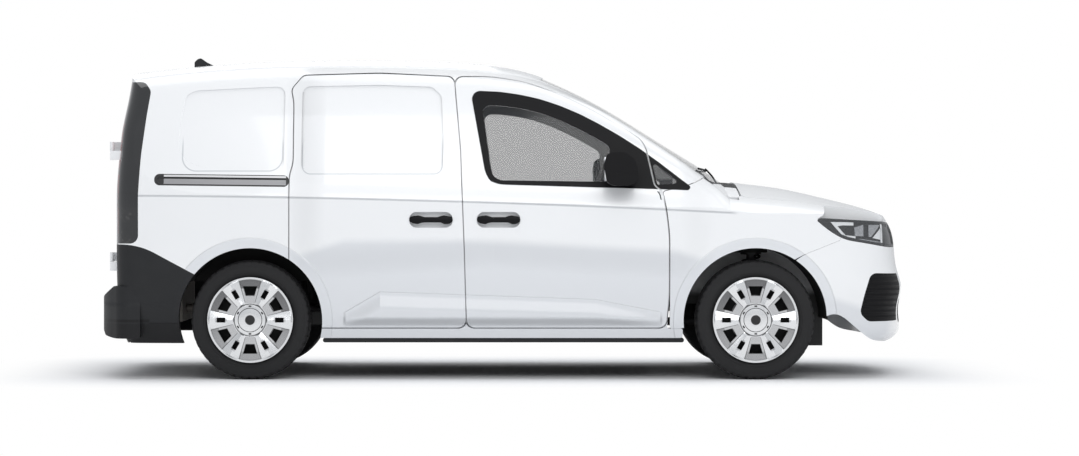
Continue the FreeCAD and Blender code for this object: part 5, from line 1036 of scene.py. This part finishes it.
for vent_y in VENTS_Y:
    reach = skin_x(nodes["dashboard"], vent_y, 0.955, -0.2, 1.0)
    tag = str(round(vent_y * 100)).replace("-", "m")
    plate("vent_" + tag, panel(vent_y - 0.048, vent_y + 0.048, 0.925, 0.985), "x", reach - 0.006,
          reach + 0.02, mirror_plastic, 0.006)
    for i in range(4):
        slat = SLAT_LOW_Z + SLAT_PITCH * i
        outline = panel(vent_y - 0.040, vent_y + 0.040, slat, slat + SLAT_HEIGHT)
        plate(f"vent_slat_{i}_{tag}", outline, "x", reach - 0.009, reach + 0.004, black_plastic, 0.001)
for name, pedal_y in (("clutch", 0.47), ("brake", 0.37), ("throttle", 0.27)):
    plate("pedal_" + name, panel(pedal_y - 0.030, pedal_y + 0.030, 0.480, 0.555), "x", 0.735, 0.748,
          black_plastic, 0.004)
    arm = [(0.745, pedal_y, 0.520), (0.770, pedal_y, 0.600), (0.760, pedal_y, 0.690)]
    tube("pedal_arm_" + name, arm, 0.008, cast_iron)
LEVER = [(0.520, 0.0, 0.700), (0.495, 0.0, 0.760), (0.480, 0.0, 0.815)]
tube("gear_lever", LEVER, 0.010, cast_iron)


# Steering wheel: a rim wrapped in black leather on a cast frame.
# Its boss is a plain padded moulding in the same black.
wheel_leather, place = new_material("steering wheel leather")
pebble = place.cells(520.0, "DISTANCE_TO_EDGE")
worn = place.noise(10.0, 4.0)
close_solid(worn.mix((0.014, 0.014, 0.015), (0.026, 0.026, 0.027)), 0.40 + worn * 0.2,
            pebble.least(0.12) * 0.002)
dressed(wheel_leather, "steering_wheel")


# Underbody: a moulded black fuel tank and a steel silencer.
# Bent steel pipes lead from the engine to the silencer and out at the tail.
under_steel, place = new_material("exhaust steel")
x, y, z = place.parts()
stain = place.noise(14.0, 5.0)
is_tank = x > -1.2
tone = is_tank.mix(stain.mix((0.17, 0.155, 0.14), (0.30, 0.28, 0.26)), (0.014, 0.014, 0.015))
close_solid(tone, 0.5 + stain * 0.2, stain * 0.0015, metallic=(1.0 - is_tank) * 0.8)
dressed(under_steel, "underbody")
PIPE_RADIUS = 0.024
FRONT_PIPE = [(1.30, -0.10, 0.300), (0.90, -0.16, 0.285), (0.20, -0.18, 0.285), (-0.60, -0.18, 0.290),
              (-1.00, -0.20, 0.330), (-1.20, -0.22, 0.400), (-1.50, -0.30, 0.400),
              (-1.70, -0.32, 0.380), (-1.82, -0.32, 0.370)]
TAIL_PIPE = [(-1.97, -0.42, 0.345), (-2.04, -0.44, 0.335), (-2.10, -0.45, 0.320), (-2.13, -0.45, 0.300)]
tube("exhaust_pipe", FRONT_PIPE, PIPE_RADIUS, under_steel)
tube("tailpipe", TAIL_PIPE, PIPE_RADIUS, under_steel)


# Seats: two bucket seats trimmed in charcoal woven cloth, with darker bolsters, stitched seams
# and head restraints. The cloth is pulled over foam and swells a little between its seams.
seat_cloth, place = new_material("seat cloth")
x, y, z = place.parts()
threads = ((x + z) * 2600.0).wave() * (y * 2600.0).wave()
fluff = place.noise(160.0, 4.0)
off_middle = abs(abs(y) - 0.400)
bolster = off_middle.rise(0.150, 0.156)
seam = off_middle.between(0.151, 0.154, 0.0015)
tone = bolster.mix(fluff.mix((0.060, 0.062, 0.066), (0.110, 0.112, 0.118)),
                   fluff.mix((0.020, 0.020, 0.022), (0.034, 0.034, 0.037)))
tone = (seam * 0.8).mix(tone, NEAR_BLACK)
close_solid(tone, 0.85, threads * 0.0002 + fluff * 0.0004 - seam * 0.003, sheen=0.3)
SEAT_SHRINK = 0.012
SEAT_VOXEL = 0.0115
SEAT_SWELL = 0.022
SEAT_PRESSURE = 4.0
SEAT_FRAMES = 20
seats = shrunk("seats", SEAT_SHRINK)
modified(seats, "REMESH", mode="VOXEL", voxel_size=SEAT_VOXEL)
before = [vertex.co.copy() for vertex in seats.data.vertices]
swelling = seats.modifiers.new("swelling", "CLOTH")
swelling.settings.use_pressure = True
swelling.settings.uniform_pressure_force = SEAT_PRESSURE
swelling.settings.effector_weights.gravity = 0.0
swelling.settings.quality = 4
swelling.collision_settings.use_collision = False
swelling.point_cache.frame_start = 1
swelling.point_cache.frame_end = SEAT_FRAMES
for frame_number in range(1, SEAT_FRAMES + 1):
    bpy.context.scene.frame_set(frame_number)
bpy.ops.object.modifier_apply(modifier=swelling.name)
bpy.context.scene.frame_set(1)
for vertex, start in zip(seats.data.vertices, before):
    step = vertex.co - start
    if step.length > SEAT_SWELL:
        vertex.co = start + step.normalized() * SEAT_SWELL
modified(seats, "SUBSURF", levels=1)
finish(seats, "seat_cushions", seat_cloth, "body", 60.0)
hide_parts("seats")
